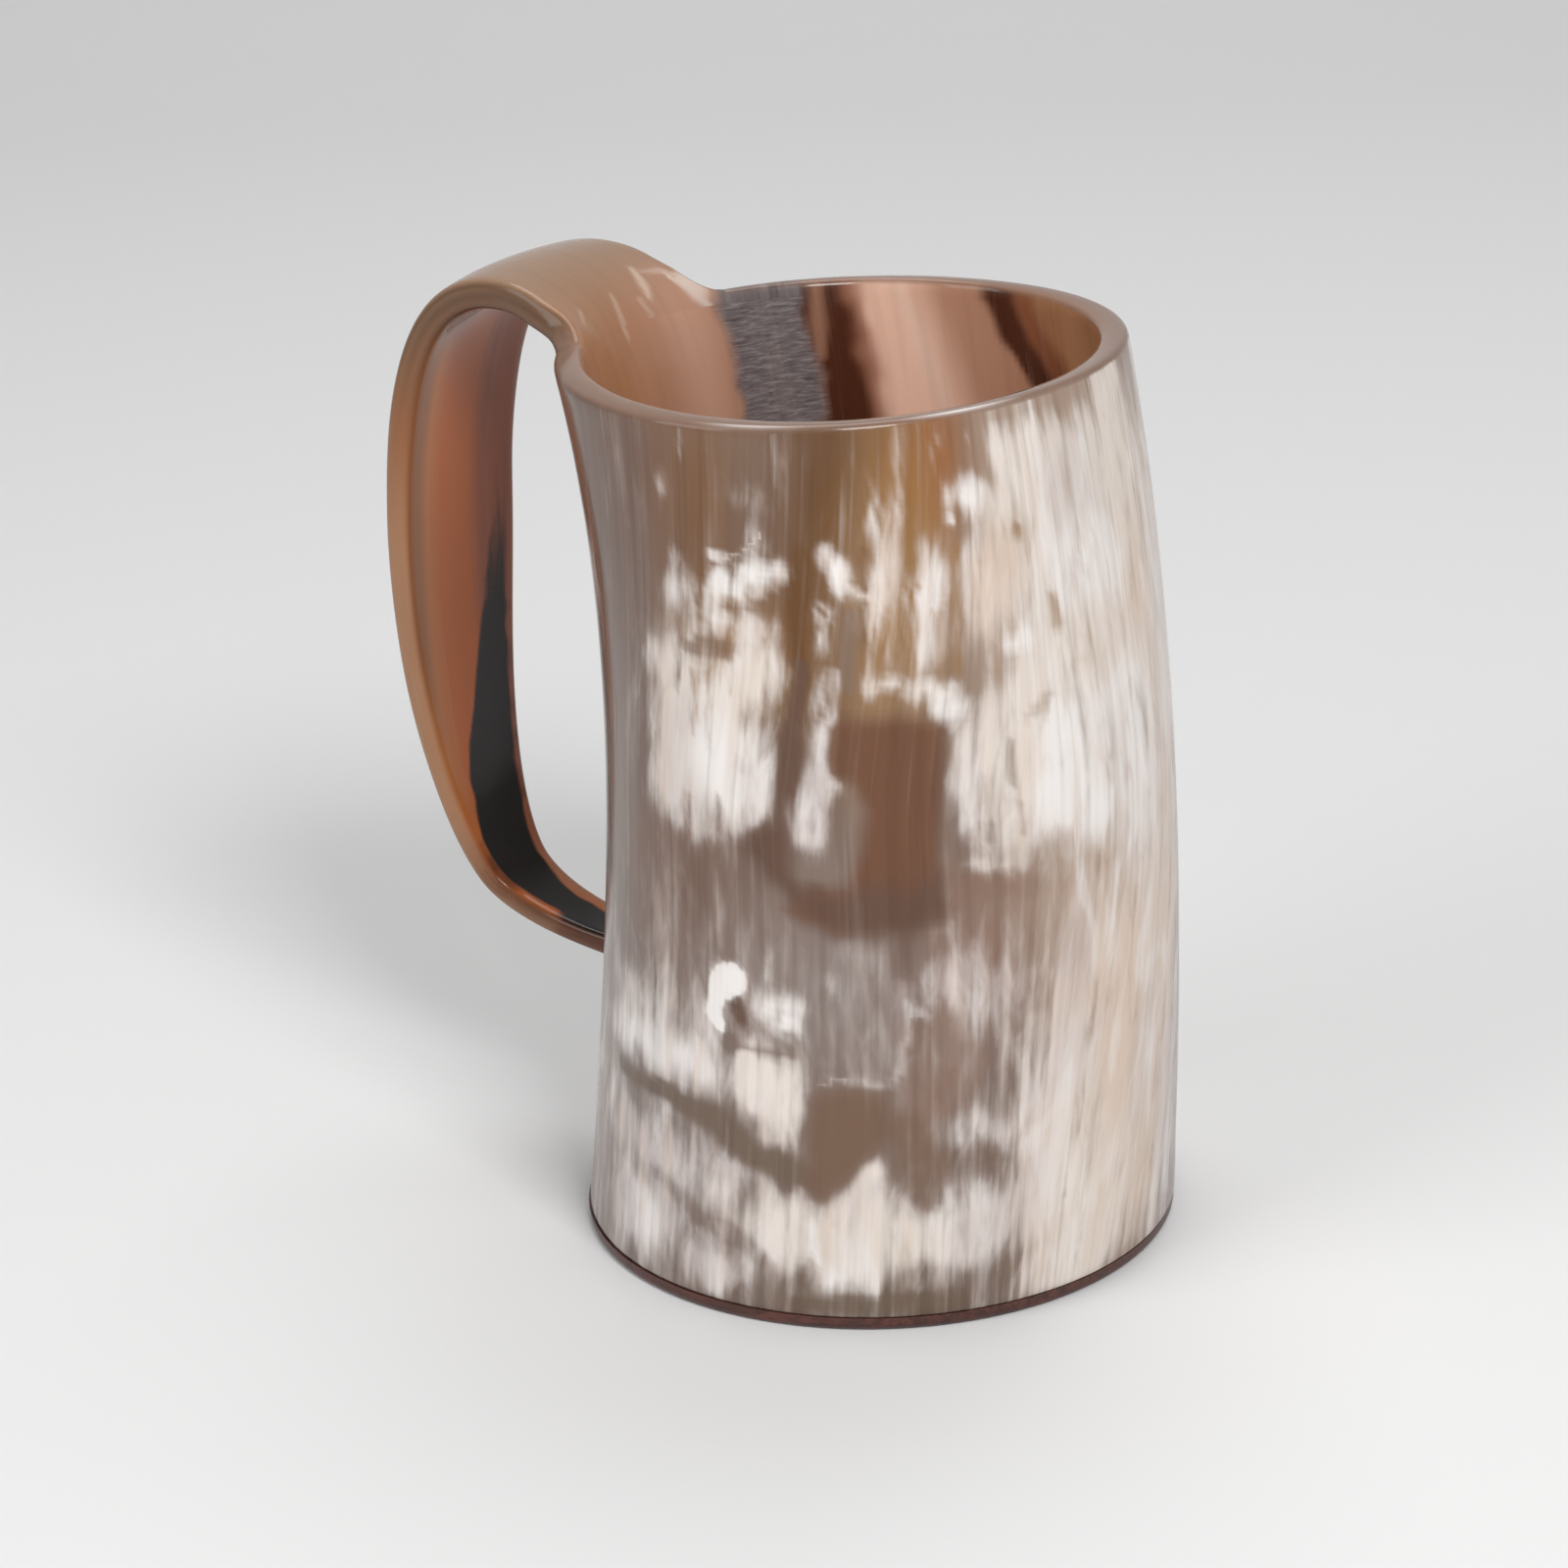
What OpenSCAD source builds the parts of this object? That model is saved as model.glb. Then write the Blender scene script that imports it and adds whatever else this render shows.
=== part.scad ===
// Horn tankard: a drinking cup cut from one cow horn. The handle is a strip of the
// same horn that was left standing above the rim, bent outward while hot, and brought
// back to the wall, where a resin pad and a pin hold its tip. A turned wood disc
// closes the bottom, bedded in clear resin.
// Lengths are in millimetres. The origin is the middle of the underside, +Z is up,
// and the handle stands out toward -X.

/* [Cup] */
// Height of the drinking rim above the surface the cup stands on
rim_h = 141.7; // [115:0.1:175]
// Outer radius of the horn at its base
base_r = 47; // [42:0.5:54]
// How much narrower the rim is than the base, on the mean radius
rim_in = 2.7; // [-5:0.1:7]
// Thickness of the horn wall
wall_t = 4.8; // [4:0.1:6]
// How far the wall is drawn in between base and rim
waist_in = 1; // [0:0.1:2.5]
// How far the horn's own curve bows the wall's middle away from the handle
bow = 5.5; // [0:0.1:7]
// How far the middle of the rim leans back toward the handle
lean = 2.3; // [0:0.1:4]
// How much the rim's side-to-side radius exceeds the mean radius
oval = 2.3; // [0:0.1:3.5]
// Rise and fall of the hand-cut rim
rim_wave = 0.3; // [0:0.1:1.5]
// How far the rim's -Y side stands above its middle height
rim_tilt = 0.7; // [0:0.1:1.5]

/* [Handle] */
// How far below the rim the horn starts to curl outward
curl_drop = 21.5; // [14:0.5:30]
// How far the handle's top stands above the rim
crest_rise = 8; // [5:0.1:14]
// How far the handle's highest place lies beyond the wall
crest_out = 13; // [9:0.5:18]
// Clear width of the finger gap
finger_gap = 37.7; // [28:0.1:45]
// How far below the rim the finger gap is widest
grip_drop = 49.7; // [38:0.1:60]
// Height at which the handle's tip meets the wall
tip_h = 35.6; // [28:0.1:46]
// How far beyond the wall the handle turns inward to its tip
elbow_out = 27.3; // [20:0.1:32]
// How far above the tip the handle turns inward
elbow_rise = 9.5; // [7:0.1:14]
// Slope of the handle where it turns inward
elbow_slope = 55; // [45:1:65]
// Width of the grip
grip_w = 30.5; // [20:0.5:34]
// Width of the handle's tip
tip_w = 10.5; // [8:0.1:14]
// Thickness of the strip where it bends over the rim
crest_t = 5.5; // [4.5:0.1:6.5]
// Thickness of the handle's tip
tip_t = 3.6; // [3.2:0.1:4.5]
// How much wider than the grip the strip leaves the rim, on each side
root_flare = 3; // [0:0.1:4]
// Radius of the hollow corner between rim and strip
root_fillet = 2.5; // [2:0.1:6]
// How much the strip's middle stands proud of its edges
crown = 1; // [0:0.1:2]

/* [Base] */
// Thickness of the disc's edge that shows below the horn
disc_t = 2.2; // [1.5:0.1:4]
// How far the disc's plug reaches up into the horn
plug_t = 6; // [4:0.5:9]
// Rounding of the disc's lower edge
disc_round = 1.2; // [0.5:0.1:1.5]
// How far the plug's seat is cut into the horn's inside
seat_cut = 1.2; // [0.8:0.1:1.6]
// Resin line between the plug and its seat
seal_gap = 0.3; // [0.2:0.05:0.6]
// Thickness of the resin coat on top of the plug
seal_t = 0.6; // [0.4:0.1:1]
// Radius of the resin bead in the corner above the plug
bead_r = 2; // [1:0.1:3]

/* [Tip fixing] */
// Depth of the flat pocket in the wall that the tip's resin pad fills
pocket_d = 0.6; // [0.5:0.05:0.8]
// Resin line between the wall and the tip
bond_t = 0.3; // [0.2:0.05:0.6]
// Diameter of the pin inside the tip
pin_d = 1.8; // [1.4:0.1:2]
// How far the pin reaches into the tip
pin_in_tip = 6; // [4:0.5:8]
// Horn left between the pin and the cup's inside
pin_skin = 1.6; // [1.2:0.1:2]
// Clearance round the pin
pin_clear = 0.05; // [0.03:0.01:0.1]

/* [Smoothness] */
// Facets of the wall outside the strip
wall_cols = 58; // [40:2:70]
// Facets across the strip
strip_cols = 12; // [8:2:16]
// Facets round each rolled edge
edge_cols = 6; // [4:2:8]

/* [Hidden] */

// Facets round each turned surface
$fn = 96;
// Overrun of a cut past the surface it opens
overrun = 1;
// Outer radius of the horn at its rim, mean of the two ways across
rim_r = base_r - rim_in;
// Rows of facets up the wall, round the curl, round the hollow corner and along the strip
wall_rows = 7;
curl_rows = 4;
fillet_rows = 4;
strip_rows = 30;
// Steps by which each span of the handle's curve is measured
span_steps = 40;
// Length of the path that weighs as much as one radian of bend when rows are shared out
bend_weight = 25;
// Length over which the strip loses the wall's roundness
flatten_len = 30;
// Length over which the strip's root narrows to the width of the grip
flare_len = 28;
// Length over which the whole width of the strip comes to follow its curl
curl_len = 9;
// Angle on either side of the strip's middle over which the curl dies out along the rim
curl_spread = 42;
// Share of the strip's length at which it starts to taper to its tip
taper_start_share = 0.42;
// Squareness of the rolled edge, 2 being a half circle: along the rim and along the strip
rim_power = 4;
strip_power = 3.2;
// Pull of each end of the handle's four spans, as shares of the span's chord
span_shares = [[0.55, 0.31], [0.33, 0.4], [0.55, 0.15], [0.28, 0.26]];

function smooth(x) = let (c = min(1, max(0, x))) c * c * (3 - 2 * c);
function mix(a, b, x) = a + (b - a) * x;
function unit(v) = v / norm(v);
function flat(rows) = [for (row = rows) each row];

// The wall. Each function takes a height and measures the middle of the wall's
// thickness, or its outside when out is half the thickness.
function wall_x(z) = let (t = z / rim_h) 2.598 * bow * t * (1 - t * t) - lean * t;
function wall_r(z) = let (t = z / rim_h) mix(base_r, rim_r, t) - 6.75 * waist_in * t * t * (1 - t);
function half_x(z, out = 0) = wall_r(z) - oval * z / rim_h - wall_t / 2 + out;
function half_y(z, out = 0) = wall_r(z) + oval * z / rim_h - wall_t / 2 + out;
function wall_at(a, z, out = 0) = [
    wall_x(z) + half_x(z, out) * cos(a),
    half_y(z, out) * sin(a),
    z
];
// The wall's -X side at a given distance to one side
function wall_back(y, z) = wall_x(z) - half_x(z) * sqrt(max(0, 1 - pow(y / half_y(z), 2)));
// Where the wall would go on above the rim, its shape is held at the handle's height
function eased(z) = z < rim_h ? z : rim_h + crest_rise * (1 - exp((rim_h - z) / crest_rise));
function rim_at(a) = rim_h - wall_t / 2 + rim_wave * cos(2 * a - 45) - rim_tilt * sin(a);

// The handle's middle line, seen from the side as [x, z], is four cubic spans through
// its root, crest, grip, elbow and tip.
curl_h = rim_h - curl_drop;
grip_h = rim_h - grip_drop;
grip_t = mix(crest_t, tip_t, taper_start_share);
tip_x = wall_at(180, tip_h, wall_t / 2).x - bond_t;
stations = [
    [wall_back(0, curl_h), curl_h],
    [wall_back(0, rim_h) - wall_t / 2 - crest_out, rim_h + crest_rise - crest_t / 2],
    [wall_back(0, grip_h) - (wall_t + grip_t) / 2 - finger_gap, grip_h],
    [tip_x - elbow_out, tip_h + elbow_rise],
    [tip_x, tip_h]
];
wall_slope = unit([
    wall_back(0, curl_h + overrun) - wall_back(0, curl_h - overrun),
    2 * overrun
]);
headings = [wall_slope, [-1, 0], [0, -1], [cos(elbow_slope), -sin(elbow_slope)], [1, 0]];

function cubic(a, b, c, d, t) =
    a * pow(1 - t, 3) + 3 * b * t * pow(1 - t, 2) + 3 * c * t * t * (1 - t) + d * pow(t, 3);
function span_pt(n, t) =
    let (a = stations[n], b = stations[n + 1], chord = norm(b - a))
    cubic(a, a + headings[n] * chord * span_shares[n][0],
        b - headings[n + 1] * chord * span_shares[n][1], b, t);

line_pts = [for (n = [0:3]) for (k = [0:span_steps - 1]) span_pt(n, k / span_steps), stations[4]];
line_last = len(line_pts) - 1;
steps = [for (k = [0:line_last - 1]) norm(line_pts[k + 1] - line_pts[k])];
// Distance along the line to each of its points
line_s = [for (k = 0, s = 0; k <= line_last; s = s + (k < line_last ? steps[k] : 0), k = k + 1) s];
line_len = line_s[line_last];
function heading_at(k) = unit(line_pts[min(k + 1, line_last)] - line_pts[max(k - 1, 0)]);
bends = [for (k = [0:line_last - 1])
    acos(min(1, heading_at(k) * heading_at(k + 1))) * PI / 180];
x_table = [for (k = [0:line_last]) [line_s[k], line_pts[k].x]];
z_table = [for (k = [0:line_last]) [line_s[k], line_pts[k].y]];
// Distance plus weighted bend, by which the rows crowd together where the strip turns
effort = [for (k = 0, e = 0; k <= line_last;
    e = e + (k < line_last ? steps[k] + bend_weight * bends[k] : 0), k = k + 1) e];
effort_of_s = [for (k = [0:line_last]) [line_s[k], effort[k]]];
s_of_effort = [for (k = [0:line_last]) [effort[k], line_s[k]]];

function line_at(s) = [lookup(s, x_table), lookup(s, z_table)];
// Direction across the strip's thickness: away from the cup at the root, down at the
// crest, and toward the cup along the grip
function under_at(s) =
    let (h = unit(line_at(min(s + overrun, line_len)) - line_at(max(s - overrun, 0))))
    [-h.y, h.x];

// The strip
rim_s = rim_h - wall_t / 2 - curl_h;
strip_len = line_len - rim_s;
fillet_mid = root_fillet + wall_t / 2;
function strip_t(u) =
    mix(crest_t, tip_t, u / strip_len) + (wall_t - crest_t) * pow(max(0, 1 - u / flare_len), 2);
// Half the strip's width at its rolled edges' centres, a distance u past the rim
function strip_half(u) =
    let (
        taper = smooth((u / strip_len - taper_start_share) / (1 - taper_start_share)),
        flare = root_flare * pow(max(0, 1 - u / flare_len), 2),
        c = min(1, max(0, u / fillet_mid)),
        corner = fillet_mid * (1 - sqrt(1 - pow(1 - c, 2)))
    )
    (mix(grip_w, tip_w, taper) - strip_t(u)) / 2 + flare + corner;
root_half_a = asin(strip_half(0) / half_y(rim_h));

// Columns run round the cup, the strip's own first, and rows run up the wall and on
// along the strip.
cols = strip_cols + wall_cols;
rim_row = wall_rows + curl_rows;
last_row = rim_row + fillet_rows + strip_rows;
function col_a(i) = i <= strip_cols
    ? 180 + root_half_a * (2 * i / strip_cols - 1)
    : 180 + root_half_a + (360 - 2 * root_half_a) * (i - strip_cols) / wall_cols;
function row_u(j) =
    j <= rim_row + fillet_rows
    ? fillet_mid * (1 - cos(90 * (j - rim_row) / fillet_rows))
    : let (from = lookup(rim_s + fillet_mid, effort_of_s))
        lookup(mix(from, effort[line_last], (j - rim_row - fillet_rows) / strip_rows),
            s_of_effort) - rim_s;

// The curl carries the strip's middle, at a distance s along its line, away from where
// the wall would have gone on upward. The wall's roundness dies out, and the crown
// takes its place.
function curl_move(s) =
    let (c = line_at(s), z = curl_h + s)
    [c.x - wall_back(0, eased(z)), 0, c.y - z];
function curl_share(a) = let (d = abs(a - 180)) smooth(1 - min(d, 360 - d) / curl_spread);
function wall_pt(i, j) =
    let (
        a = col_a(i),
        up = max(0, j - wall_rows) / curl_rows,
        z = j <= wall_rows ? mix(disc_t, curl_h, j / wall_rows) : mix(curl_h, rim_at(a), up)
    )
    wall_at(a, z) + curl_move(rim_s * up) * curl_share(a);
function strip_pt(i, j) =
    let (
        a = col_a(i),
        u = row_u(j),
        half = strip_half(u),
        flattened = smooth(u / flatten_len),
        root_y = wall_at(a, rim_at(a)).y / strip_half(0),
        y = half * mix(root_y, 1 - 2 * i / strip_cols, flattened),
        z = mix(rim_at(a), rim_s + curl_h, flattened) + u,
        x = mix(wall_back(y, eased(z)), wall_back(0, eased(z)), flattened),
        under = under_at(rim_s + u) * crown * pow(2 * y / grip_w, 2) * flattened,
        turn = asin(min(1, y / half_y(eased(z)))),
        share = 1 - (1 - curl_share(180 + turn)) * (1 - smooth(u / curl_len))
    )
    [x + under.x, y, z + under.y] + curl_move(rim_s + u) * share;

grid = [for (j = [0:last_row])
    j <= rim_row
    ? [for (i = [0:cols - 1]) wall_pt(i, j)]
    : [for (i = [0:strip_cols]) strip_pt(i, j)]];
function on_strip(i) = i <= strip_cols;
function next_col(i, j) = j <= rim_row ? (i + 1) % cols : min(i + 1, strip_cols);
function prev_col(i, j) = j <= rim_row ? (i + cols - 1) % cols : max(i - 1, 0);
function next_row(i, j) = j < rim_row || (on_strip(i) && j < last_row) ? j + 1 : j;
function normal_at(i, j) =
    let (
        across = grid[j][next_col(i, j)] - grid[j][prev_col(i, j)],
        along = grid[next_row(i, j)][i] - grid[max(0, j - 1)][i],
        n = cross(across, along)
    )
    unit(j == 0 ? [n.x, n.y, 0] : n);
normals = [for (j = [0:last_row]) [for (i = [0:len(grid[j]) - 1]) normal_at(i, j)]];
function row_t(j) = j <= rim_row ? wall_t : strip_t(row_u(j));

function face_pts(side) = flat([for (j = [0:last_row]) [for (i = [0:len(grid[j]) - 1])
    grid[j][i] + normals[j][i] * side * row_t(j) / 2]]);

// The sheet's edge runs along the rim, up one side of the strip, across the tip and
// back down the other side.
edge = concat(
    [for (i = [strip_cols:cols - 1]) [i, rim_row]],
    [for (j = [rim_row:last_row]) [0, j]],
    [for (i = [1:strip_cols - 1]) [i, last_row]],
    [for (j = [last_row:-1:rim_row + 1]) [strip_cols, j]]
);
edge_len = len(edge);
function edge_mid(k) = let (e = edge[(k + edge_len) % edge_len]) grid[e[1]][e[0]];
function edge_way(k) =
    let (i = edge[k][0], j = edge[k][1])
    j < last_row
    ? edge_mid(k + 1) - edge_mid(k - 1)
    : i == 0 ? edge_mid(k) - edge_mid(k - 1) : edge_mid(k + 1) - edge_mid(k);
function edge_pt(k, m) =
    let (
        i = edge[k][0],
        j = edge[k][1],
        n = normals[j][i],
        out = unit(cross(n, edge_way(k))),
        at_tip = j == last_row && i > 0 && i < strip_cols,
        turn = 180 * m / edge_cols,
        power = mix(rim_power, strip_power, smooth(row_u(j) / flare_len)),
        level = sign(cos(turn)) * pow(abs(cos(turn)), 2 / power),
        reach = at_tip ? 0 : pow(sin(turn), 2 / power)
    )
    grid[j][i] + (n * level + out * reach) * row_t(j) / 2;
edge_pts = flat([for (k = [0:edge_len - 1]) [for (m = [1:edge_cols - 1]) edge_pt(k, m)]]);

// Numbers of the points: the outer face, then the inner face, then the rolled edge
face_count = (rim_row + 1) * cols + (last_row - rim_row) * (strip_cols + 1);
function outer_no(i, j) = j <= rim_row
    ? j * cols + i % cols
    : (rim_row + 1) * cols + (j - rim_row - 1) * (strip_cols + 1) + i;
function inner_no(i, j) = face_count + outer_no(i, j);
function edge_no(k, m) =
    let (e = edge[k % edge_len])
    m == 0
    ? outer_no(e[0], e[1])
    : m == edge_cols
        ? inner_no(e[0], e[1])
        : 2 * face_count + (k % edge_len) * (edge_cols - 1) + m - 1;
function quad(a, b, c, d) = [[a, b, c], [a, c, d]];
cells = concat(
    [for (j = [0:rim_row - 1]) for (i = [0:cols - 1]) [i, j]],
    [for (j = [rim_row:last_row - 1]) for (i = [0:strip_cols - 1]) [i, j]]
);
outer_faces = flat([for (c = cells) let (i = c[0], j = c[1])
    quad(outer_no(i, j), outer_no(i, j + 1), outer_no(i + 1, j + 1), outer_no(i + 1, j))]);
inner_faces = flat([for (c = cells) let (i = c[0], j = c[1])
    quad(inner_no(i, j), inner_no(i + 1, j), inner_no(i + 1, j + 1), inner_no(i, j + 1))]);
foot_faces = flat([for (i = [0:cols - 1])
    quad(inner_no(i, 0), outer_no(i, 0), outer_no(i + 1, 0), inner_no(i + 1, 0))]);
edge_faces = flat([for (k = [0:edge_len - 1]) for (m = [0:edge_cols - 1])
    quad(edge_no(k, m), edge_no(k, m + 1), edge_no(k + 1, m + 1), edge_no(k + 1, m))]);

// The base
seat_r = base_r - wall_t + seat_cut;
plug_r = seat_r - seal_gap;
plug_top = disc_t + plug_t;
seal_top = plug_top + seal_t;
seat_top = seal_top + bead_r;

// The tip's fixing, drawn along +Z and then turned to face the wall
pad_len = pocket_d + bond_t;
pin_r = pin_d / 2;
pin_in_wall = wall_t - pin_skin;
module at_tip() {
    translate([tip_x, 0, tip_h])
        rotate([0, 90, 0])
            children();
}
module pad() {
    pad_r = tip_t / 2;
    at_tip()
        linear_extrude(pad_len)
            union() {
                square([2 * pad_r, tip_w - tip_t], center = true);
                for (side = [-1, 1])
                    translate([0, side * (tip_w - tip_t) / 2])
                        circle(pad_r);
            }
}
module pin(r, slack) {
    at_tip()
        translate([0, 0, -pin_in_tip - slack])
            cylinder(r = r, h = pin_in_tip + bond_t + pin_in_wall + 2 * slack);
}

// The cup's wall and its handle, one piece of horn
module horn_body() {
    color([0.76, 0.66, 0.58])
        difference() {
            polyhedron(
                points = concat(face_pts(1), face_pts(-1), edge_pts),
                faces = concat(outer_faces, inner_faces, foot_faces, edge_faces)
            );
            translate([0, 0, disc_t - overrun])
                cylinder(r = seat_r, h = seat_top - disc_t + overrun);
            pad();
            pin(pin_r + pin_clear, pin_clear);
        }
}

// The turned wood disc: a thin flange under the horn and a plug inside it
module base_disc() {
    rim_x = base_r - disc_round;
    color([0.36, 0.22, 0.19])
        rotate_extrude()
            polygon(concat(
                [[0, 0]],
                [for (a = [-90:15:0]) [rim_x + disc_round * cos(a), disc_round * (1 + sin(a))]],
                [[base_r, disc_t], [plug_r, disc_t], [plug_r, plug_top], [0, plug_top]]
            ));
}

// Clear resin round the plug and over it, with a bead in the corner
module base_seal() {
    color([0.80, 0.66, 0.45, 0.6])
        rotate_extrude()
            polygon(concat(
                [[0, plug_top], [plug_r, plug_top], [plug_r, disc_t], [seat_r, disc_t]],
                [for (a = [0:15:90])
                    [seat_r - bead_r * (1 - cos(a)), seat_top - bead_r * sin(a)]],
                [[0, seal_top]]
            ));
}

// Resin pad that beds the handle's tip on the wall, bored for the pin
module handle_bond() {
    color([0.70, 0.55, 0.36])
        difference() {
            pad();
            pin(pin_r + pin_clear, pin_clear);
        }
}

// Headless pin, blind at both ends
module handle_pin() {
    color([0.30, 0.20, 0.14])
        pin(pin_r, 0);
}

horn_body();
base_disc();
base_seal();
handle_bond();
handle_pin();
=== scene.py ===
"""Looks of a horn drinking cup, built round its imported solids."""
from math import asin, copysign, cos, degrees, pi, radians, sin

import bpy
import numpy as np
from mathutils import Matrix, Vector


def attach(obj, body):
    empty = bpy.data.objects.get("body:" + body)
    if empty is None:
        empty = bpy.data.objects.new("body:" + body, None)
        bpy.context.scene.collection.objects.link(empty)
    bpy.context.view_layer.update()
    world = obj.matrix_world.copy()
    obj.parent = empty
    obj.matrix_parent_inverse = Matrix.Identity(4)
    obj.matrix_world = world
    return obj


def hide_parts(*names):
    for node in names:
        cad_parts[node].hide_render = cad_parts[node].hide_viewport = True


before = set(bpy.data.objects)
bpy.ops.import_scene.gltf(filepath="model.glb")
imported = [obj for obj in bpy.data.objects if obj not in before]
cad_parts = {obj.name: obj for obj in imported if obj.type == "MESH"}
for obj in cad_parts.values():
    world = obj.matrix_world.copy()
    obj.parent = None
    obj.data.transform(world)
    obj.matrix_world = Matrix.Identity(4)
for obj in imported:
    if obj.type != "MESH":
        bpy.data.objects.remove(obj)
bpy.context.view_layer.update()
MM = 0.001

# ---------------- the horn's form, in millimetres
RIM_H, BASE_R, RIM_R, WALL_T = 141.7, 47.0, 44.3, 4.8
WAIST_IN, BOW, LEAN, OVAL, RIM_WAVE, RIM_TILT = 1.0, 5.5, 2.3, 2.3, 0.3, 0.7
CURL_DROP, CREST_RISE, CREST_OUT, FINGER_GAP, GRIP_DROP = 21.5, 8.0, 13.0, 37.7, 49.7
TIP_H, ELBOW_OUT, ELBOW_RISE, ELBOW_SLOPE = 35.6, 27.3, 9.5, 55.0
GRIP_W, TIP_W, CREST_T, TIP_T = 30.5, 10.5, 5.5, 3.6
ROOT_FLARE, ROOT_FILLET, CROWN = 3.0, 2.5, 1.0
DISC_T, SEAT_R, SEAT_TOP, BOND_T = 2.2, 43.4, 10.8, 0.3
FLATTEN_LEN, FLARE_LEN, CURL_LEN, CURL_SPREAD = 30.0, 28.0, 9.0, 42.0
TAPER_START, RIM_POWER, STRIP_POWER, BEND_WEIGHT = 0.42, 4.0, 3.2, 25.0
SPAN_SHARES = ((0.55, 0.31), (0.33, 0.4), (0.55, 0.15), (0.28, 0.26))
# Mesh: columns, rows, and steps round an edge and along a span
WALL_COLS, STRIP_COLS, WALL_ROWS, CURL_ROWS = 244, 44, 108, 22
FILLET_ROWS, STRIP_ROWS, EDGE_COLS, SPAN_STEPS = 12, 170, 12, 300
# Factors that bring the greatest reach of bow and waist to 1
BOW_PEAK, WAIST_PEAK = 2.598, 6.75
# The foot's bevel and lowest row, and the least step above the disc's seat
FOOT_BEVEL, FOOT_ROW, SEAT_STEP = 0.35, 0.5, 0.6
# Hand scraping: least and further depth, distances from the foot, the tip and the pad, and fade
HOLLOW_MIN, HOLLOW_MORE = 0.04, 0.16
FOOT_CLEAR, TIP_CLEAR, PAD_CLEAR, HOLLOW_FADE = 5.0, 4.0, 5.0, 8.0
# Mean radius, which turns degrees into millimetres, and the random fields' height
MEAN_R, FIELD_TOP = 46.0, 420
MM_PER_DEG = radians(1) * MEAN_R


def smooth(x):
    c = np.clip(x, 0.0, 1.0)
    return c * c * (3 - 2 * c)


def mix(a, b, x):
    return a + (b - a) * x


def unit(v):
    v = np.asarray(v, float)
    return v / np.linalg.norm(v, axis=-1, keepdims=True)


def drift(a, z, step_a, step_z, seed):
    """A smooth random field from -1 to 1 that closes round the cup."""
    cols = int(round(360 / step_a))
    table = np.random.default_rng(seed).uniform(-1, 1, (int(FIELD_TOP / step_z) + 2, cols))
    u, v = (a % 360) / 360 * cols, z / step_z
    i, j = np.floor(u).astype(int), np.floor(v).astype(int)
    fu, fv = smooth(u - i), smooth(v - j)
    low = mix(table[j, i % cols], table[j, (i + 1) % cols], fu)
    high = mix(table[j + 1, i % cols], table[j + 1, (i + 1) % cols], fu)
    return mix(low, high, fv)


def apart(a, a0):
    return (a - a0 + 180) % 360 - 180


def wall_x(z):
    t = z / RIM_H
    return BOW_PEAK * BOW * t * (1 - t * t) - LEAN * t


def wall_r(z):
    t = z / RIM_H
    return mix(BASE_R, RIM_R, t) - WAIST_PEAK * WAIST_IN * t * t * (1 - t)


def half_x(z, out=0.0):
    return wall_r(z) - OVAL * z / RIM_H - WALL_T / 2 + out


def half_y(z, out=0.0):
    return wall_r(z) + OVAL * z / RIM_H - WALL_T / 2 + out


def wall_at(a, z, out=0.0):
    a = np.radians(a)
    return np.stack([wall_x(z) + half_x(z, out) * np.cos(a), half_y(z, out) * np.sin(a), z + 0 * a], -1)


def wall_back(y, z):
    return wall_x(z) - half_x(z) * np.sqrt(np.maximum(0, 1 - (y / half_y(z)) ** 2))


def eased(z):
    return np.where(z < RIM_H, z, RIM_H + CREST_RISE * (1 - np.exp(np.minimum(0, RIM_H - z) / CREST_RISE)))


def rim_at(a):
    return RIM_H - WALL_T / 2 + RIM_WAVE * np.cos(np.radians(2 * a - 45)) - RIM_TILT * np.sin(np.radians(a))


def handle_line():
    """The handle's middle line as (length along it, x and z): four cubic spans."""
    curl_h, grip_h = RIM_H - CURL_DROP, RIM_H - GRIP_DROP
    grip_t = mix(CREST_T, TIP_T, TAPER_START)
    tip_x = wall_at(180.0, TIP_H, WALL_T / 2)[0] - BOND_T
    stations = np.array([
        [wall_back(0, curl_h), curl_h],
        [wall_back(0, RIM_H) - WALL_T / 2 - CREST_OUT, RIM_H + CREST_RISE - CREST_T / 2],
        [wall_back(0, grip_h) - (WALL_T + grip_t) / 2 - FINGER_GAP, grip_h],
        [tip_x - ELBOW_OUT, TIP_H + ELBOW_RISE],
        [tip_x, TIP_H]], float)
    slope = unit([wall_back(0, curl_h + 1) - wall_back(0, curl_h - 1), 2.0])
    turn = radians(ELBOW_SLOPE)
    heads = np.array([slope, [-1, 0], [0, -1], [cos(turn), -sin(turn)], [1, 0]])
    pts = []
    for n, (start, end) in enumerate(SPAN_SHARES):
        a, d = stations[n], stations[n + 1]
        chord = np.linalg.norm(d - a)
        b, c = a + heads[n] * chord * start, d - heads[n + 1] * chord * end
        for t in np.arange(SPAN_STEPS) / SPAN_STEPS:
            pts.append(a * (1 - t) ** 3 + 3 * b * t * (1 - t) ** 2 + 3 * c * t * t * (1 - t) + d * t ** 3)
    pts = np.array(pts + [stations[4]])
    return np.concatenate([[0], np.cumsum(np.linalg.norm(np.diff(pts, axis=0), axis=1))]), pts


LINE_S, LINE = handle_line()
LINE_LEN = LINE_S[-1]
CURL_H = RIM_H - CURL_DROP
RIM_S = RIM_H - WALL_T / 2 - CURL_H
STRIP_LEN = LINE_LEN - RIM_S
FILLET_MID = ROOT_FILLET + WALL_T / 2


def line_at(s):
    return np.stack([np.interp(s, LINE_S, LINE[:, 0]), np.interp(s, LINE_S, LINE[:, 1])], -1)


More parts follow.
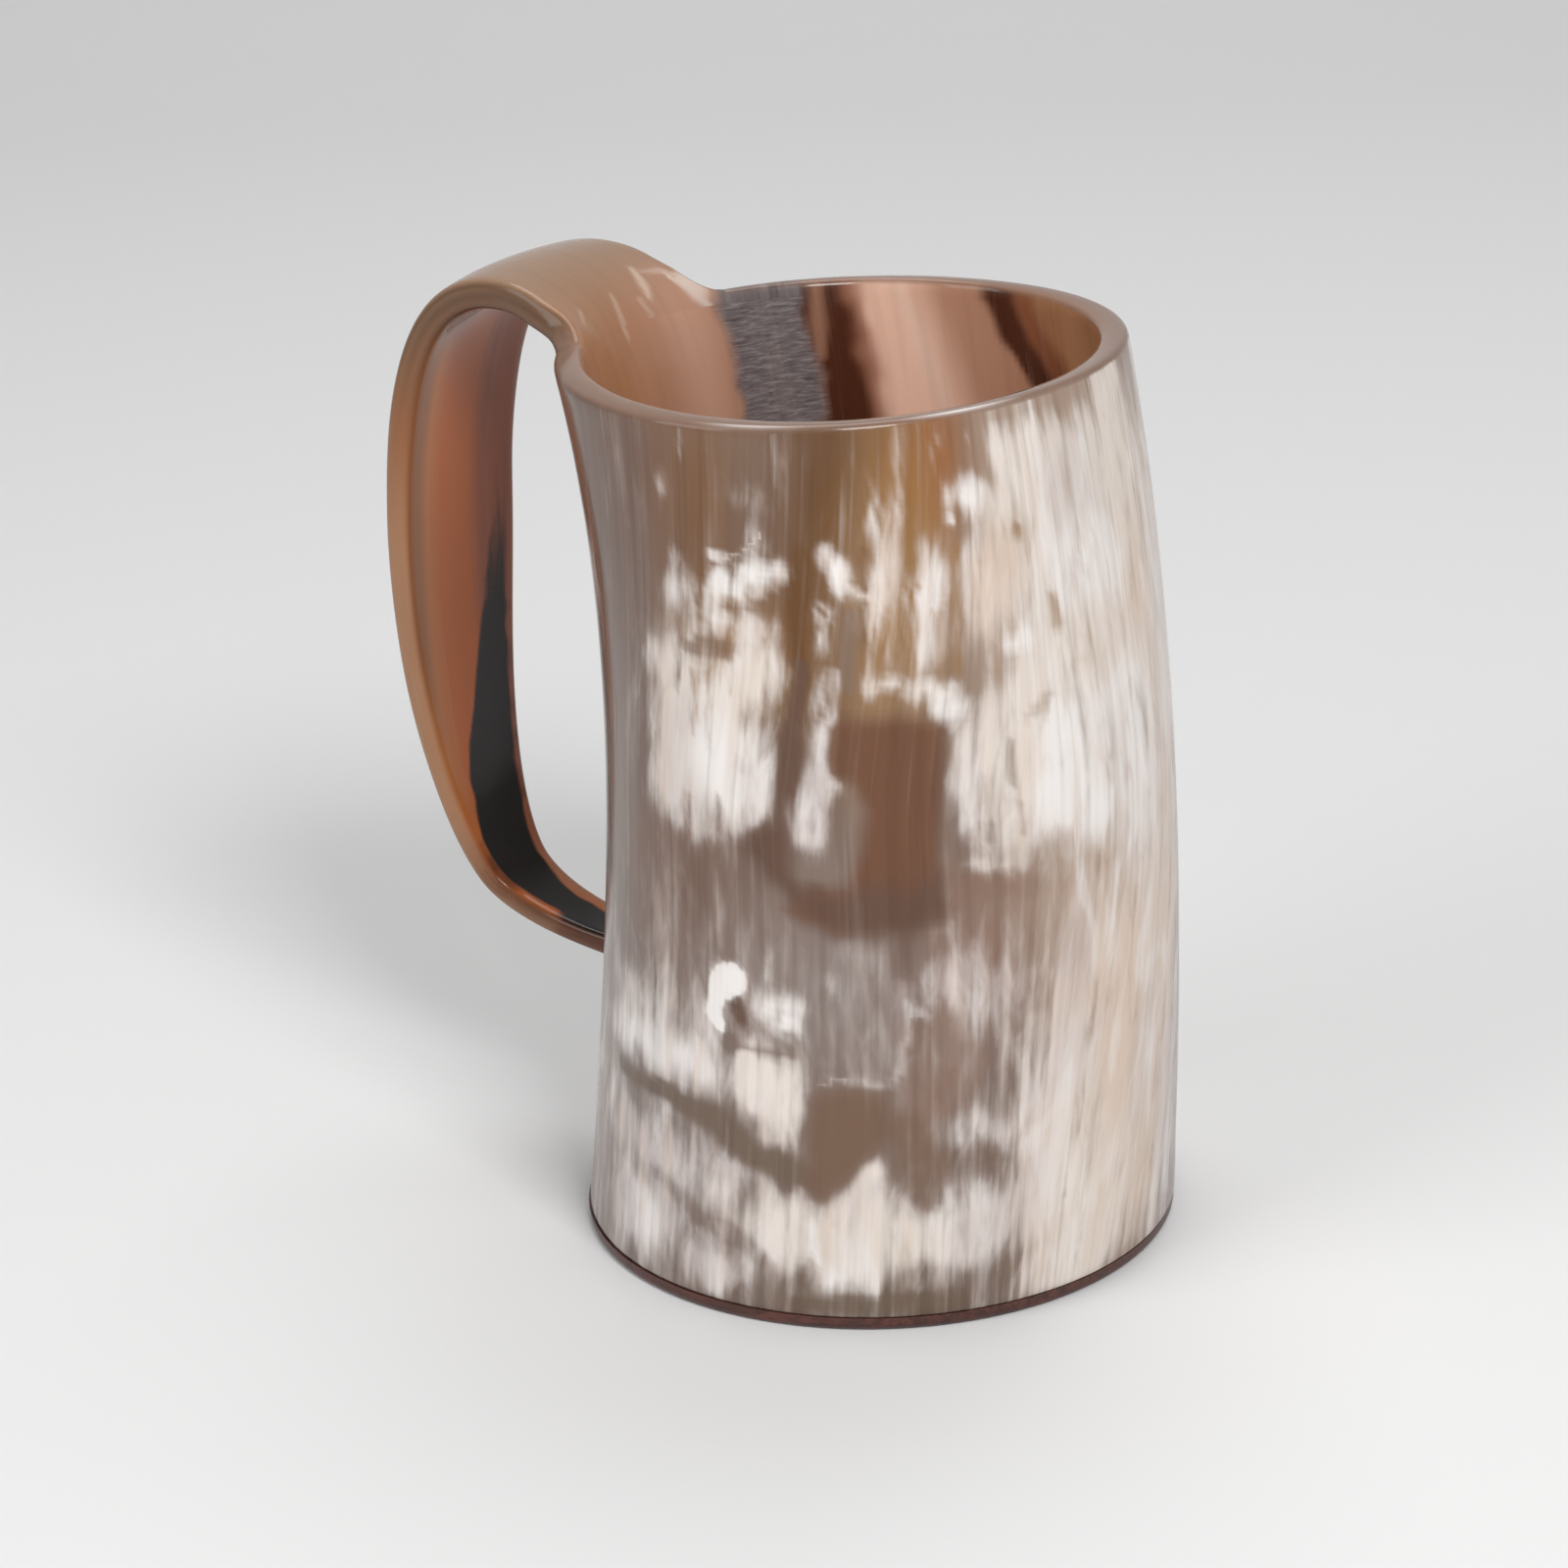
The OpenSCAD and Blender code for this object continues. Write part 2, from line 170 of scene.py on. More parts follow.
def under_at(s):
    h = unit(line_at(np.minimum(s + 1, LINE_LEN)) - line_at(np.maximum(s - 1, 0)))
    return np.stack([-h[..., 1], h[..., 0]], -1)


def strip_t(u):
    return mix(CREST_T, TIP_T, u / STRIP_LEN) + (WALL_T - CREST_T) * np.maximum(0, 1 - u / FLARE_LEN) ** 2


def strip_half(u):
    taper = smooth((u / STRIP_LEN - TAPER_START) / (1 - TAPER_START))
    flare = ROOT_FLARE * np.maximum(0, 1 - u / FLARE_LEN) ** 2
    c = np.clip(u / FILLET_MID, 0, 1)
    corner = FILLET_MID * (1 - np.sqrt(np.maximum(0, 1 - (1 - c) ** 2)))
    return (mix(GRIP_W, TIP_W, taper) - strip_t(u)) / 2 + flare + corner


ROOT_HALF_A = degrees(asin(strip_half(0.0) / half_y(RIM_H)))
COLS = STRIP_COLS + WALL_COLS
RIM_ROW = WALL_ROWS + CURL_ROWS
LAST_ROW = RIM_ROW + FILLET_ROWS + STRIP_ROWS


def curl_move(s):
    c = line_at(s)
    z = CURL_H + s
    return np.stack([c[..., 0] - wall_back(0, eased(z)), 0 * z, c[..., 1] - z], -1)


def column_angles():
    i = np.arange(COLS)
    strip = 180 + ROOT_HALF_A * (2 * i / STRIP_COLS - 1)
    rest = 180 + ROOT_HALF_A + (360 - 2 * ROOT_HALF_A) * (i - STRIP_COLS) / WALL_COLS
    return np.where(i <= STRIP_COLS, strip, rest)


def row_lengths():
    """Distance past the rim of each row of the strip, closer together where it bends."""
    h = unit(np.gradient(LINE, axis=0))
    bend = np.concatenate([[0], np.cumsum(np.arccos(np.clip((h[1:] * h[:-1]).sum(1), -1, 1)))])
    effort = LINE_S + BEND_WEIGHT * bend
    k = np.arange(1, FILLET_ROWS + 1)
    corner = FILLET_MID * (1 - np.cos(np.pi / 2 * k / FILLET_ROWS))
    first = np.interp(RIM_S + FILLET_MID, LINE_S, effort)
    even = np.interp(np.linspace(first, effort[-1], STRIP_ROWS + 1)[1:], effort, LINE_S) - RIM_S
    return np.concatenate([corner, even])


def hollows(a, z):
    """How far hand scraping has sunk the surface. Nothing is taken off near the foot, the tip and its pad."""
    foot = smooth((z - FOOT_CLEAR) / HOLLOW_FADE)
    tip = smooth((RIM_H + STRIP_LEN - TIP_CLEAR - z) / HOLLOW_FADE)
    pad = smooth(np.hypot(apart(a, 180) * MM_PER_DEG, z - TIP_H) / PAD_CLEAR - 2)
    wave = 0.5 + 0.3 * drift(a, z, 18, 22, 21) + 0.2 * drift(a, z, 9, 12, 22)
    return (HOLLOW_MIN + HOLLOW_MORE * wave) * foot * tip * np.where(z < RIM_H, pad, 1)


def horn_rows(a):
    """Rows of the skin's middle, their points' places and half thickness, and each row's way past the rim."""
    turn = np.minimum(np.abs(a - 180), 360 - np.abs(a - 180))
    share = smooth(1 - turn / CURL_SPREAD)
    climb = np.concatenate([[DISC_T], np.linspace(DISC_T + FOOT_ROW, CURL_H, WALL_ROWS)])
    rows, grain = [], []
    for j in range(RIM_ROW + 1):
        up = max(0, j - WALL_ROWS) / CURL_ROWS
        z = np.full(COLS, climb[j]) if j <= WALL_ROWS else mix(CURL_H, rim_at(a), up)
        rows.append(wall_at(a, z) + curl_move(RIM_S * up) * share[:, None])
        grain.append(np.stack([a, z], -1))
    us = row_lengths()
    i = np.arange(STRIP_COLS + 1)
    sa = a[i]
    for u in us:
        flattened = smooth(u / FLATTEN_LEN)
        root_y = wall_at(sa, rim_at(sa))[:, 1] / strip_half(0.0)
        y = strip_half(u) * mix(root_y, 1 - 2 * i / STRIP_COLS, flattened)
        z = mix(rim_at(sa), RIM_S + CURL_H, flattened) + u
        x = mix(wall_back(y, eased(z)), wall_back(0, eased(z)), flattened)
        under = under_at(RIM_S + u)[None] * (CROWN * (2 * y / GRIP_W) ** 2 * flattened)[:, None]
        turned = np.degrees(np.arcsin(np.clip(np.abs(y) / half_y(eased(z)), 0, 1)))
        part = 1 - (1 - smooth(1 - turned / CURL_SPREAD)) * (1 - smooth(u / CURL_LEN))
        p = np.stack([x + under[:, 0], y, z + under[:, 1]], -1)
        rows.append(p + curl_move(np.float64(RIM_S + u)) * part[:, None])
        angle = 180 - np.degrees(np.arcsin(np.clip(y / half_y(RIM_H), -1, 1)))
        grain.append(np.stack([angle, RIM_H + u + 0 * y], -1))
    thick = [WALL_T] * (RIM_ROW + 1) + [float(strip_t(u)) for u in us]
    half_t = [t / 2 - hollows(*g.T) for t, g in zip(thick, grain)]
    return rows, grain, half_t, [0.0] * (RIM_ROW + 1) + list(us)


def row_normals(rows):
    normals = []
    for j, row in enumerate(rows):
        if j <= RIM_ROW:
            across = np.roll(row, -1, 0) - np.roll(row, 1, 0)
        else:
            k = np.arange(len(row))
            across = row[np.minimum(k + 1, len(row) - 1)] - row[np.maximum(k - 1, 0)]
        after = row.copy()
        if j < LAST_ROW:
            after[:len(rows[j + 1])] = rows[j + 1]
        normal = np.cross(across, after - rows[max(0, j - 1)][:len(row)])
        if j == 0:
            normal[:, 2] = 0
        normals.append(unit(normal))
    return normals


def build_horn():
    """Points, quads and per-point facts of the horn: one sheet with two faces and a rolled edge."""
    a = column_angles()
    rows, grain, half_t, past = horn_rows(a)
    normals = row_normals(rows)
    pts, facts, quads = [], [], []

    def add(p, at, side):
        pts.append(p)
        facts.append((*at, side))
        return len(pts) - 1

    def face(j, side, bevel=0.0):
        return [add(p + n * (side * (t - bevel)), at, side)
                for p, n, t, at in zip(rows[j], normals[j], half_t[j], grain[j])]

    # the bevel makes the joint with the disc show as a line
    outer = [face(0, 1.0, FOOT_BEVEL)] + [face(j, 1.0) for j in range(1, len(rows))]
    first_in = next(j for j in range(WALL_ROWS) if grain[j][0, 1] > SEAT_TOP + SEAT_STEP)
    inner = [None] * first_in + [face(j, -1.0) for j in range(first_in, len(rows))]
    rings = [inner[first_in], [add(wall_at(b, SEAT_TOP, -WALL_T / 2), (b, SEAT_TOP), -1.0) for b in a]]
    for z in (SEAT_TOP, DISC_T):
        rings.append([add(np.array([SEAT_R * cos(radians(b)), SEAT_R * sin(radians(b)), z]),
                          (b, z), -1.0) for b in a])
    rings.append(outer[0])
    for j in range(LAST_ROW):
        for k in range(COLS if j < RIM_ROW else STRIP_COLS):
            m = (k + 1) % COLS
            quads.append((outer[j][k], outer[j + 1][k], outer[j + 1][m], outer[j][m]))
            if j >= first_in:
                quads.append((inner[j][k], inner[j][m], inner[j + 1][m], inner[j + 1][k]))
    for top, low in zip(rings, rings[1:]):
        quads += [(low[k], low[(k + 1) % COLS], top[(k + 1) % COLS], top[k]) for k in range(COLS)]
    # the edge runs round the rim, down one side of the strip, across its tip and back up the other side
    edge = [(k, RIM_ROW) for k in range(STRIP_COLS, COLS)] + [(0, j) for j in range(RIM_ROW, LAST_ROW + 1)]
    edge += [(k, LAST_ROW) for k in range(1, STRIP_COLS)]
    edge += [(STRIP_COLS, j) for j in range(LAST_ROW, RIM_ROW, -1)]
    mid = np.array([rows[j][k] for k, j in edge])
    bands = []
    for e, (k, j) in enumerate(edge):
        following = mid[(e + 1) % len(edge)]
        if j < LAST_ROW:
            way = following - mid[e - 1]
        else:
            way = mid[e] - mid[e - 1] if k == 0 else following - mid[e]
        n = normals[j][k]
        out = unit(np.cross(n, way))
        at_tip = j == LAST_ROW and 0 < k < STRIP_COLS
        power = mix(RIM_POWER, STRIP_POWER, float(smooth(past[j] / FLARE_LEN)))
        band = [outer[j][k]]
        for m in range(1, EDGE_COLS):
            c = cos(pi * m / EDGE_COLS)
            level = copysign(abs(c) ** (2 / power), c)
            reach = 0 if at_tip else sin(pi * m / EDGE_COLS) ** (2 / power)
            band.append(add(rows[j][k] + (n * level + out * reach) * half_t[j][k], grain[j][k], level))
        bands.append(band + [inner[j][k]])
    for near, far in zip(bands, bands[1:] + bands[:1]):
        quads += [(near[m], near[m + 1], far[m + 1], far[m]) for m in range(EDGE_COLS)]
    return np.array(pts), [q[::-1] for q in quads], np.array(facts)


points, quads, facts = build_horn()


# ---------------- colour
# Places are an angle and a height. Angles run round the cup: the handle is at 180, and the photograph looks at 302.
# Past the rim, height goes on as the way along the handle: its top is at 159, grip 224, elbow 272 and tip 301.
def srgb(text):
    v = [int(text[k:k + 2], 16) / 255 for k in (1, 3, 5)]
    return np.array([c / 12.92 if c <= 0.04045 else ((c + 0.055) / 1.055) ** 2.4 for c in v])


INK = {name: srgb(code) for name, code in {
    "taupe": "#7d6b61", "mauve": "#735a4d", "cocoa": "#765130", "amber": "#62401f", "honey": "#9a7345",
    "brown": "#6c4833", "umber": "#61473a", "rose": "#86695a", "khaki": "#6e5c4e", "grey": "#857872",
    "plum": "#6b5758", "sand": "#b39b87", "wood": "#735a49", "white": "#ebe6e3", "cream": "#e2d8cf",
    "peach": "#d4bfae", "lilac": "#c3b7b5", "pearl": "#d4cac5", "shade": "#a8988c", "tan": "#ad8068",
    "skin": "#dfb6a0", "slate": "#6c6263", "coffee": "#4c281b", "ginger": "#8f5a34", "root": "#a67246",
    "sienna": "#7d452c", "rust": "#b3602c", "chestnut": "#96543a", "black": "#1b1512", "copper": "#b4703f",
    "fawn": "#a47a5c", "lip": "#866c5e", "bark": "#4a3527", "ember": "#5a2a12", "edge": "#8f5c3a",
    "cork": "#6b4f3a", "olive": "#957b66", "disc": "#5d342a", "disc_dark": "#3b201b", "resin": "#7d5530",
    "resin_dark": "#573519",
}.items()}

# Pale patches on the outside: angle, height, half width in degrees, half height, strength, ink
PALE = (
    (346, 118.3, 22.9, 17.4, 0.85, "cream"), (339.3, 90, 21.1, 14.1, 0.85, "cream"),
    (341.4, 34.9, 17.2, 33, 0.8, "peach"), (266.7, 95.8, 19.8, 17.2, 0.45, "cream"),
    (311, 114.6, 10.1, 9.3, 0.3, "peach"), (256.9, 43.8, 16.2, 8.4, 0.45, "pearl"),
    (260.8, 20, 17.2, 12.6, 0.3, "lilac"), (297.5, 16.5, 21.6, 9, 0.5, "cream"),
    (378.5, 104.8, 28.4, 22.5, 0.7, "peach"), (270.6, 138.3, 1.1, 1.4, 0.45, "pearl"),
    (264.3, 132.6, 1.6, 1.8, 0.3, "pearl"), (283.4, 131.1, 2.9, 2.5, 0.42, "pearl"),
    (283, 125.7, 2, 2.2, 0.55, "pearl"), (283.2, 120.6, 5.2, 1.7, 0.9, "white"),
    (274.7, 117.5, 3.7, 2.1, 0.92, "white"), (264.1, 120.9, 1.9, 1.7, 0.45, "pearl"),
    (263.5, 116.4, 3.9, 2.4, 0.75, "pearl"), (272.2, 113.3, 3.1, 1.4, 0.75, "white"),
    (278.3, 112, 6.2, 1.8, 0.45, "peach"), (262.2, 111.7, 2, 1.9, 0.3, "peach"),
    (254.4, 104.9, 3.1, 2.7, 0.45, "cream"), (260.2, 102.1, 3.8, 4.7, 0.6, "cream"),
    (278, 104.5, 5.7, 4.7, 0.85, "cream"), (268.4, 99.1, 5.8, 5, 0.8, "cream"),
    (258, 93, 6.6, 7.3, 0.85, "pearl"), (271.2, 90, 9.5, 6.5, 0.95, "white"),
    (254.8, 84.7, 6.4, 3.4, 0.85, "pearl"), (275.9, 87.8, 3.2, 5.1, 0.75, "pearl"),
    (257.3, 80.5, 1.6, 2.4, 0.6, "pearl"), (262.6, 81.1, 2.5, 2.7, 0.6, "pearl"),
    (271.5, 81.6, 1.5, 2, 0.6, "pearl"), (276.5, 82.6, 1.6, 1.8, 0.5, "pearl"),
    (296.2, 123, 1.6, 1.8, 0.65, "pearl"), (298.4, 120.4, 1.7, 2.2, 0.9, "white"),
    (306.9, 128.3, 1.1, 3.5, 0.75, "cream"), (304.9, 116.5, 1, 7.2, 0.5, "peach"),
    (308.2, 119.2, 1.6, 7.4, 0.35, "peach"), (314.4, 117.3, 2.6, 5.1, 1, "white"),
    (312.8, 108.3, 2.2, 4.1, 0.7, "pearl"), (310.5, 116.8, 0.8, 4.6, 0.5, "cream"),
    (293.2, 110.3, 1.1, 2.2, 0.3, "cream"), (301.8, 103.5, 1.4, 2.2, 0.7, "cream"),
    (305.5, 103.7, 2.2, 1.1, 0.75, "cream"), (291.5, 102.6, 1.3, 2.2, 0.35, "lilac"),
    (291.5, 94.8, 1.5, 3, 0.6, "pearl"), (312.8, 102, 4.2, 1.4, 0.8, "cream"),
    (316.2, 99.5, 4, 2.5, 0.9, "white"), (286.6, 83.7, 4.7, 5.6, 0.7, "lilac"),
    (285.9, 80.3, 2.5, 1.7, 0.9, "pearl"), (291.8, 88.7, 2.1, 3.3, 0.6, "pearl"),
    (326.1, 130.2, 4.5, 2.4, 0.95, "white"), (321.9, 129.4, 1.3, 2.1, 0.5, "cream"),
    (321.7, 126.5, 1.4, 0.8, 0.8, "white"), (329.6, 127.6, 3.5, 2.9, 0.7, "cream"),
    (332.4, 135.8, 3.7, 2.6, 0.7, "cream"), (327.9, 136.8, 0.8, 1.5, 0.5, "peach"),
    (289.1, 135.6, 1.4, 7.2, 0.3, "sand"), (312.5, 131.8, 0.9, 8.2, 0.4, "sand"),
    (308.2, 123.5, 0.7, 6.8, 0.35, "cream"), (320.9, 135.2, 1.1, 4.4, 0.25, "peach"),
    (339.8, 132.4, 11.1, 5.9, 0.97, "cream"), (351.7, 125.9, 12.2, 8.6, 1, "pearl"),
    (339.3, 121.7, 2.1, 4.2, 1, "white"), (368.1, 122.2, 5.7, 6.5, 0.7, "peach"),
    (329.8, 119.7, 7.8, 4.9, 0.8, "peach"), (325, 114.2, 5.6, 7.1, 0.75, "peach"),
    (350.7, 115.1, 10.9, 6.3, 1, "white"), (359, 115.5, 4.6, 7.2, 0.95, "white"),
    (331.7, 107.7, 4.2, 1.7, 0.85, "white"), (345.3, 103.6, 10, 3.9, 0.9, "cream"),
    (334.8, 99.4, 9.7, 4.6, 0.9, "cream"), (364.9, 102.1, 5.6, 7, 0.8, "peach"),
    (375.5, 99.4, 5.3, 6.8, 0.6, "lilac"), (345.8, 90.9, 15.3, 6.7, 1, "white"),
    (357.1, 85.1, 5.3, 7.4, 0.9, "pearl"), (323.2, 92, 7.1, 5.4, 0.85, "cream"),
    (318.9, 88.8, 2.4, 6.6, 0.7, "pearl"), (333, 85.9, 6.6, 4.5, 0.9, "cream"),
    (324, 79.1, 5.5, 4.3, 0.8, "cream"), (321.1, 74.2, 4.7, 1.4, 0.75, "cream"),
    (339.8, 83.8, 7.8, 5.7, 0.95, "white"), (346.9, 78.4, 6.2, 4.8, 0.95, "white"),
    (367.1, 83.2, 4.2, 9.8, 0.7, "peach"), (374.4, 74.9, 5.5, 11.4, 0.6, "lilac"),
    (239.7, 47.7, 6.3, 3.4, 0.5, "pearl"), (244.4, 40.5, 12.3, 3.1, 0.85, "white"),
    (279.6, 53, 4.1, 2.5, 0.95, "white"), (281.6, 49.6, 2.1, 1.3, 0.95, "white"),
    (277.6, 58.7, 1.2, 2.7, 0.35, "lilac"), (290.4, 57.3, 0.9, 1.8, 0.4, "pearl"),
    (261, 40.3, 4.9, 2.9, 0.85, "white"), (275.2, 40.9, 5.4, 4.4, 0.95, "cream"),
    (281.8, 36.9, 3.9, 6.4, 1, "cream"), (249.2, 24, 9.5, 3.6, 0.7, "lilac"),
    (238.4, 26.4, 6.4, 3.6, 0.5, "lilac"), (243.2, 12.7, 6.6, 5.5, 0.7, "lilac"),
    (248.7, 10.2, 4.3, 4.4, 0.9, "white"), (270.9, 25.5, 2.7, 2.2, 0.5, "pearl"),
    (269, 21, 3, 1.9, 0.6, "cream"), (280.5, 18.7, 5, 3.5, 0.8, "cream"),
    (282.6, 15.2, 9.2, 4.1, 0.85, "cream"), (266.3, 7.8, 6.3, 2.8, 0.65, "lilac"),
    (268.6, 6.6, 2.6, 2.3, 0.8, "pearl"), (288.3, 13.7, 3.1, 2.5, 0.85, "cream"),
    (291.3, 9.7, 1.7, 1.9, 0.95, "white"), (298.9, 28, 3.1, 2.4, 0.85, "cream"),
    (295.4, 21.4, 3.7, 4.2, 0.8, "pearl"), (301.8, 23.8, 2.3, 2.3, 0.7, "pearl"),
    (301.2, 16.4, 7.8, 4, 0.9, "cream"), (310, 14.4, 5.9, 2.9, 0.85, "cream"),
    (297.7, 11.5, 4.7, 2.3, 0.8, "cream"), (317.4, 16.9, 6.6, 3.6, 0.8, "pearl"),
    (316.7, 12, 3.4, 2.7, 0.7, "pearl"), (312.8, 57.8, 4, 3.1, 0.4, "lilac"),
    (319, 54.4, 4.2, 4.7, 0.5, "lilac"), (339.8, 57.6, 3.7, 6.8, 0.6, "lilac"),
    (329.9, 37.5, 4, 6, 0.85, "pearl"), (337.8, 40.6, 8.5, 7.3, 0.85, "pearl"),
    (320.8, 32.7, 4.6, 2.3, 0.65, "pearl"), (316.2, 29.3, 2, 1.3, 0.65, "pearl"),
    (331.3, 22.2, 4.7, 7.4, 0.85, "pearl"), (345.6, 18.5, 14.7, 18.4, 0.9, "cream"),
    (354, 41.1, 6.8, 22.5, 0.85, "peach"), (364.5, 44.3, 5.6, 17.2, 0.8, "pearl"),
    (323.2, 17.2, 6.8, 5.3, 0.8, "pearl"), (371, 43.7, 5.6, 18.2, 0.6, "peach"),
    (362, 16.9, 7.5, 10.9, 0.8, "peach"), (338.7, 5.8, 11.8, 4, 0.85, "cream"),
    (343.1, 63.1, 4.3, 5.1, 0.45, "sand"), (370, 118, 6, 24, 0.9, "peach"), (380, 100, 6, 30, 0.8, "pearl"),
    (372, 60, 7, 24, 0.8, "peach"), (375, 25, 6, 18, 0.7, "lilac"), (363, 85, 7, 16, 0.9, "white"),
    (366, 130, 8, 14, 0.9, "cream"),
)
# Pale strokes: strength, ink, then angle, height and, unless it is THIN, half width along the stroke
STROKES = (
    (1.1, "white", ((267.4, 48.5, 1.1), (265.6, 50.5, 1.6), (266.7, 54, 1.9), (270.1, 56.1, 2.4))),
    (1, "white", ((270.1, 56.1, 2.4), (268.5, 55.8, 2.9))),
    (0.6, "cream", ((272.2, 122.5), (276.4, 122.1, 0.8), (281, 123.8), (284.5, 126.1))),
    (0.54, "peach", ((270.9, 115), (278.7, 116.4), (286.3, 118.9))),
    (0.27, "pearl", ((239.1, 57.8), (247.2, 57.6), (256.5, 59.1), (266.7, 60.3))),
    (0.5, "pearl", ((285.3, 39.2), (290.4, 41.5), (296.8, 41.7, 0.9), (301.4, 41.2), (303.5, 43.9, 0.8),
        (304.4, 48.6), (305.8, 53.3, 1.2), (308.6, 51.5, 0.9))),
    (0.5, "lilac", ((294.7, 105.2, 1), (293.3, 97.8, 1), (291.5, 90.2, 1.5), (288.5, 84.1, 1.2))),
    (0.8, "white", ((287.3, 17.7), (288.5, 12.8, 0.8), (291.7, 8.5, 1))),
    (0.69, "peach", ((300.2, 118.2), (302.1, 116.6, 0.9))),
    (0.37, "peach", ((294.2, 115.7), (295.4, 114.6), (294.3, 113.6), (292.5, 114.2), (293.2, 115.3))),
    (0.33, "cream", ((318.5, 84.4), (317.1, 80), (317.8, 74.6), (321.5, 71.8, 0.8), (326.6, 72.2),
        (329.9, 75.1))),
    (0.39, "white", ((326.6, 86.2), (326.9, 83.5))),
    # painted reflection: a pale line on the wall beside the handle, where the wall mirrors it
    (0.3, "peach", ((214.5, 136, 1.6), (215, 118, 0.9), (214, 104, 1.3))),
)
# Clear windows in the pale layer: ink, softness in millimetres, then corners as angle and height
WINDOWS = (
    ("brown", 1.8, ((294.6, 98.4), (301.1, 98.6), (308.1, 98.2), (315, 97), (313.6, 87.3), (311.8, 76.2),
        (311, 70), (305.2, 66.4), (296.7, 65.8), (291.4, 65.2), (286.6, 66.9), (281.6, 69.2), (288.2, 71.8),
        (294.2, 73.2), (296.8, 78.7), (298, 84.8), (296.4, 88.6), (292.2, 89.6), (291.6, 93.2), (292.6, 97))),
    ("umber", 2, ((284.6, 95.9), (287, 95), (286.4, 91), (284.2, 88.4), (283, 83.6), (283.6, 77.2),
        (283.4, 70.8), (277.9, 72.9), (273, 77.9), (274.7, 80.6), (279.6, 82.4), (281.1, 87.7), (282.9, 92.4))),
    ("umber", 3, ((282.5, 72.7), (287.8, 71.2), (295.4, 72.1), (306.3, 72.5), (312.1, 74.1), (311.8, 69.1),
        (307, 65.7), (298.9, 64.4), (291.4, 65.1), (285.7, 67.9))),
    ("wood", 2.2, ((286.2, 37.8), (288.7, 39.6), (295.3, 40.7), (301.6, 39.8), (302.2, 33.9), (298.6, 29.8),
        (294, 25.4), (289.8, 21.6), (286.6, 22.6), (286.2, 28.2), (285.6, 30.4), (285.6, 34.6))),
)
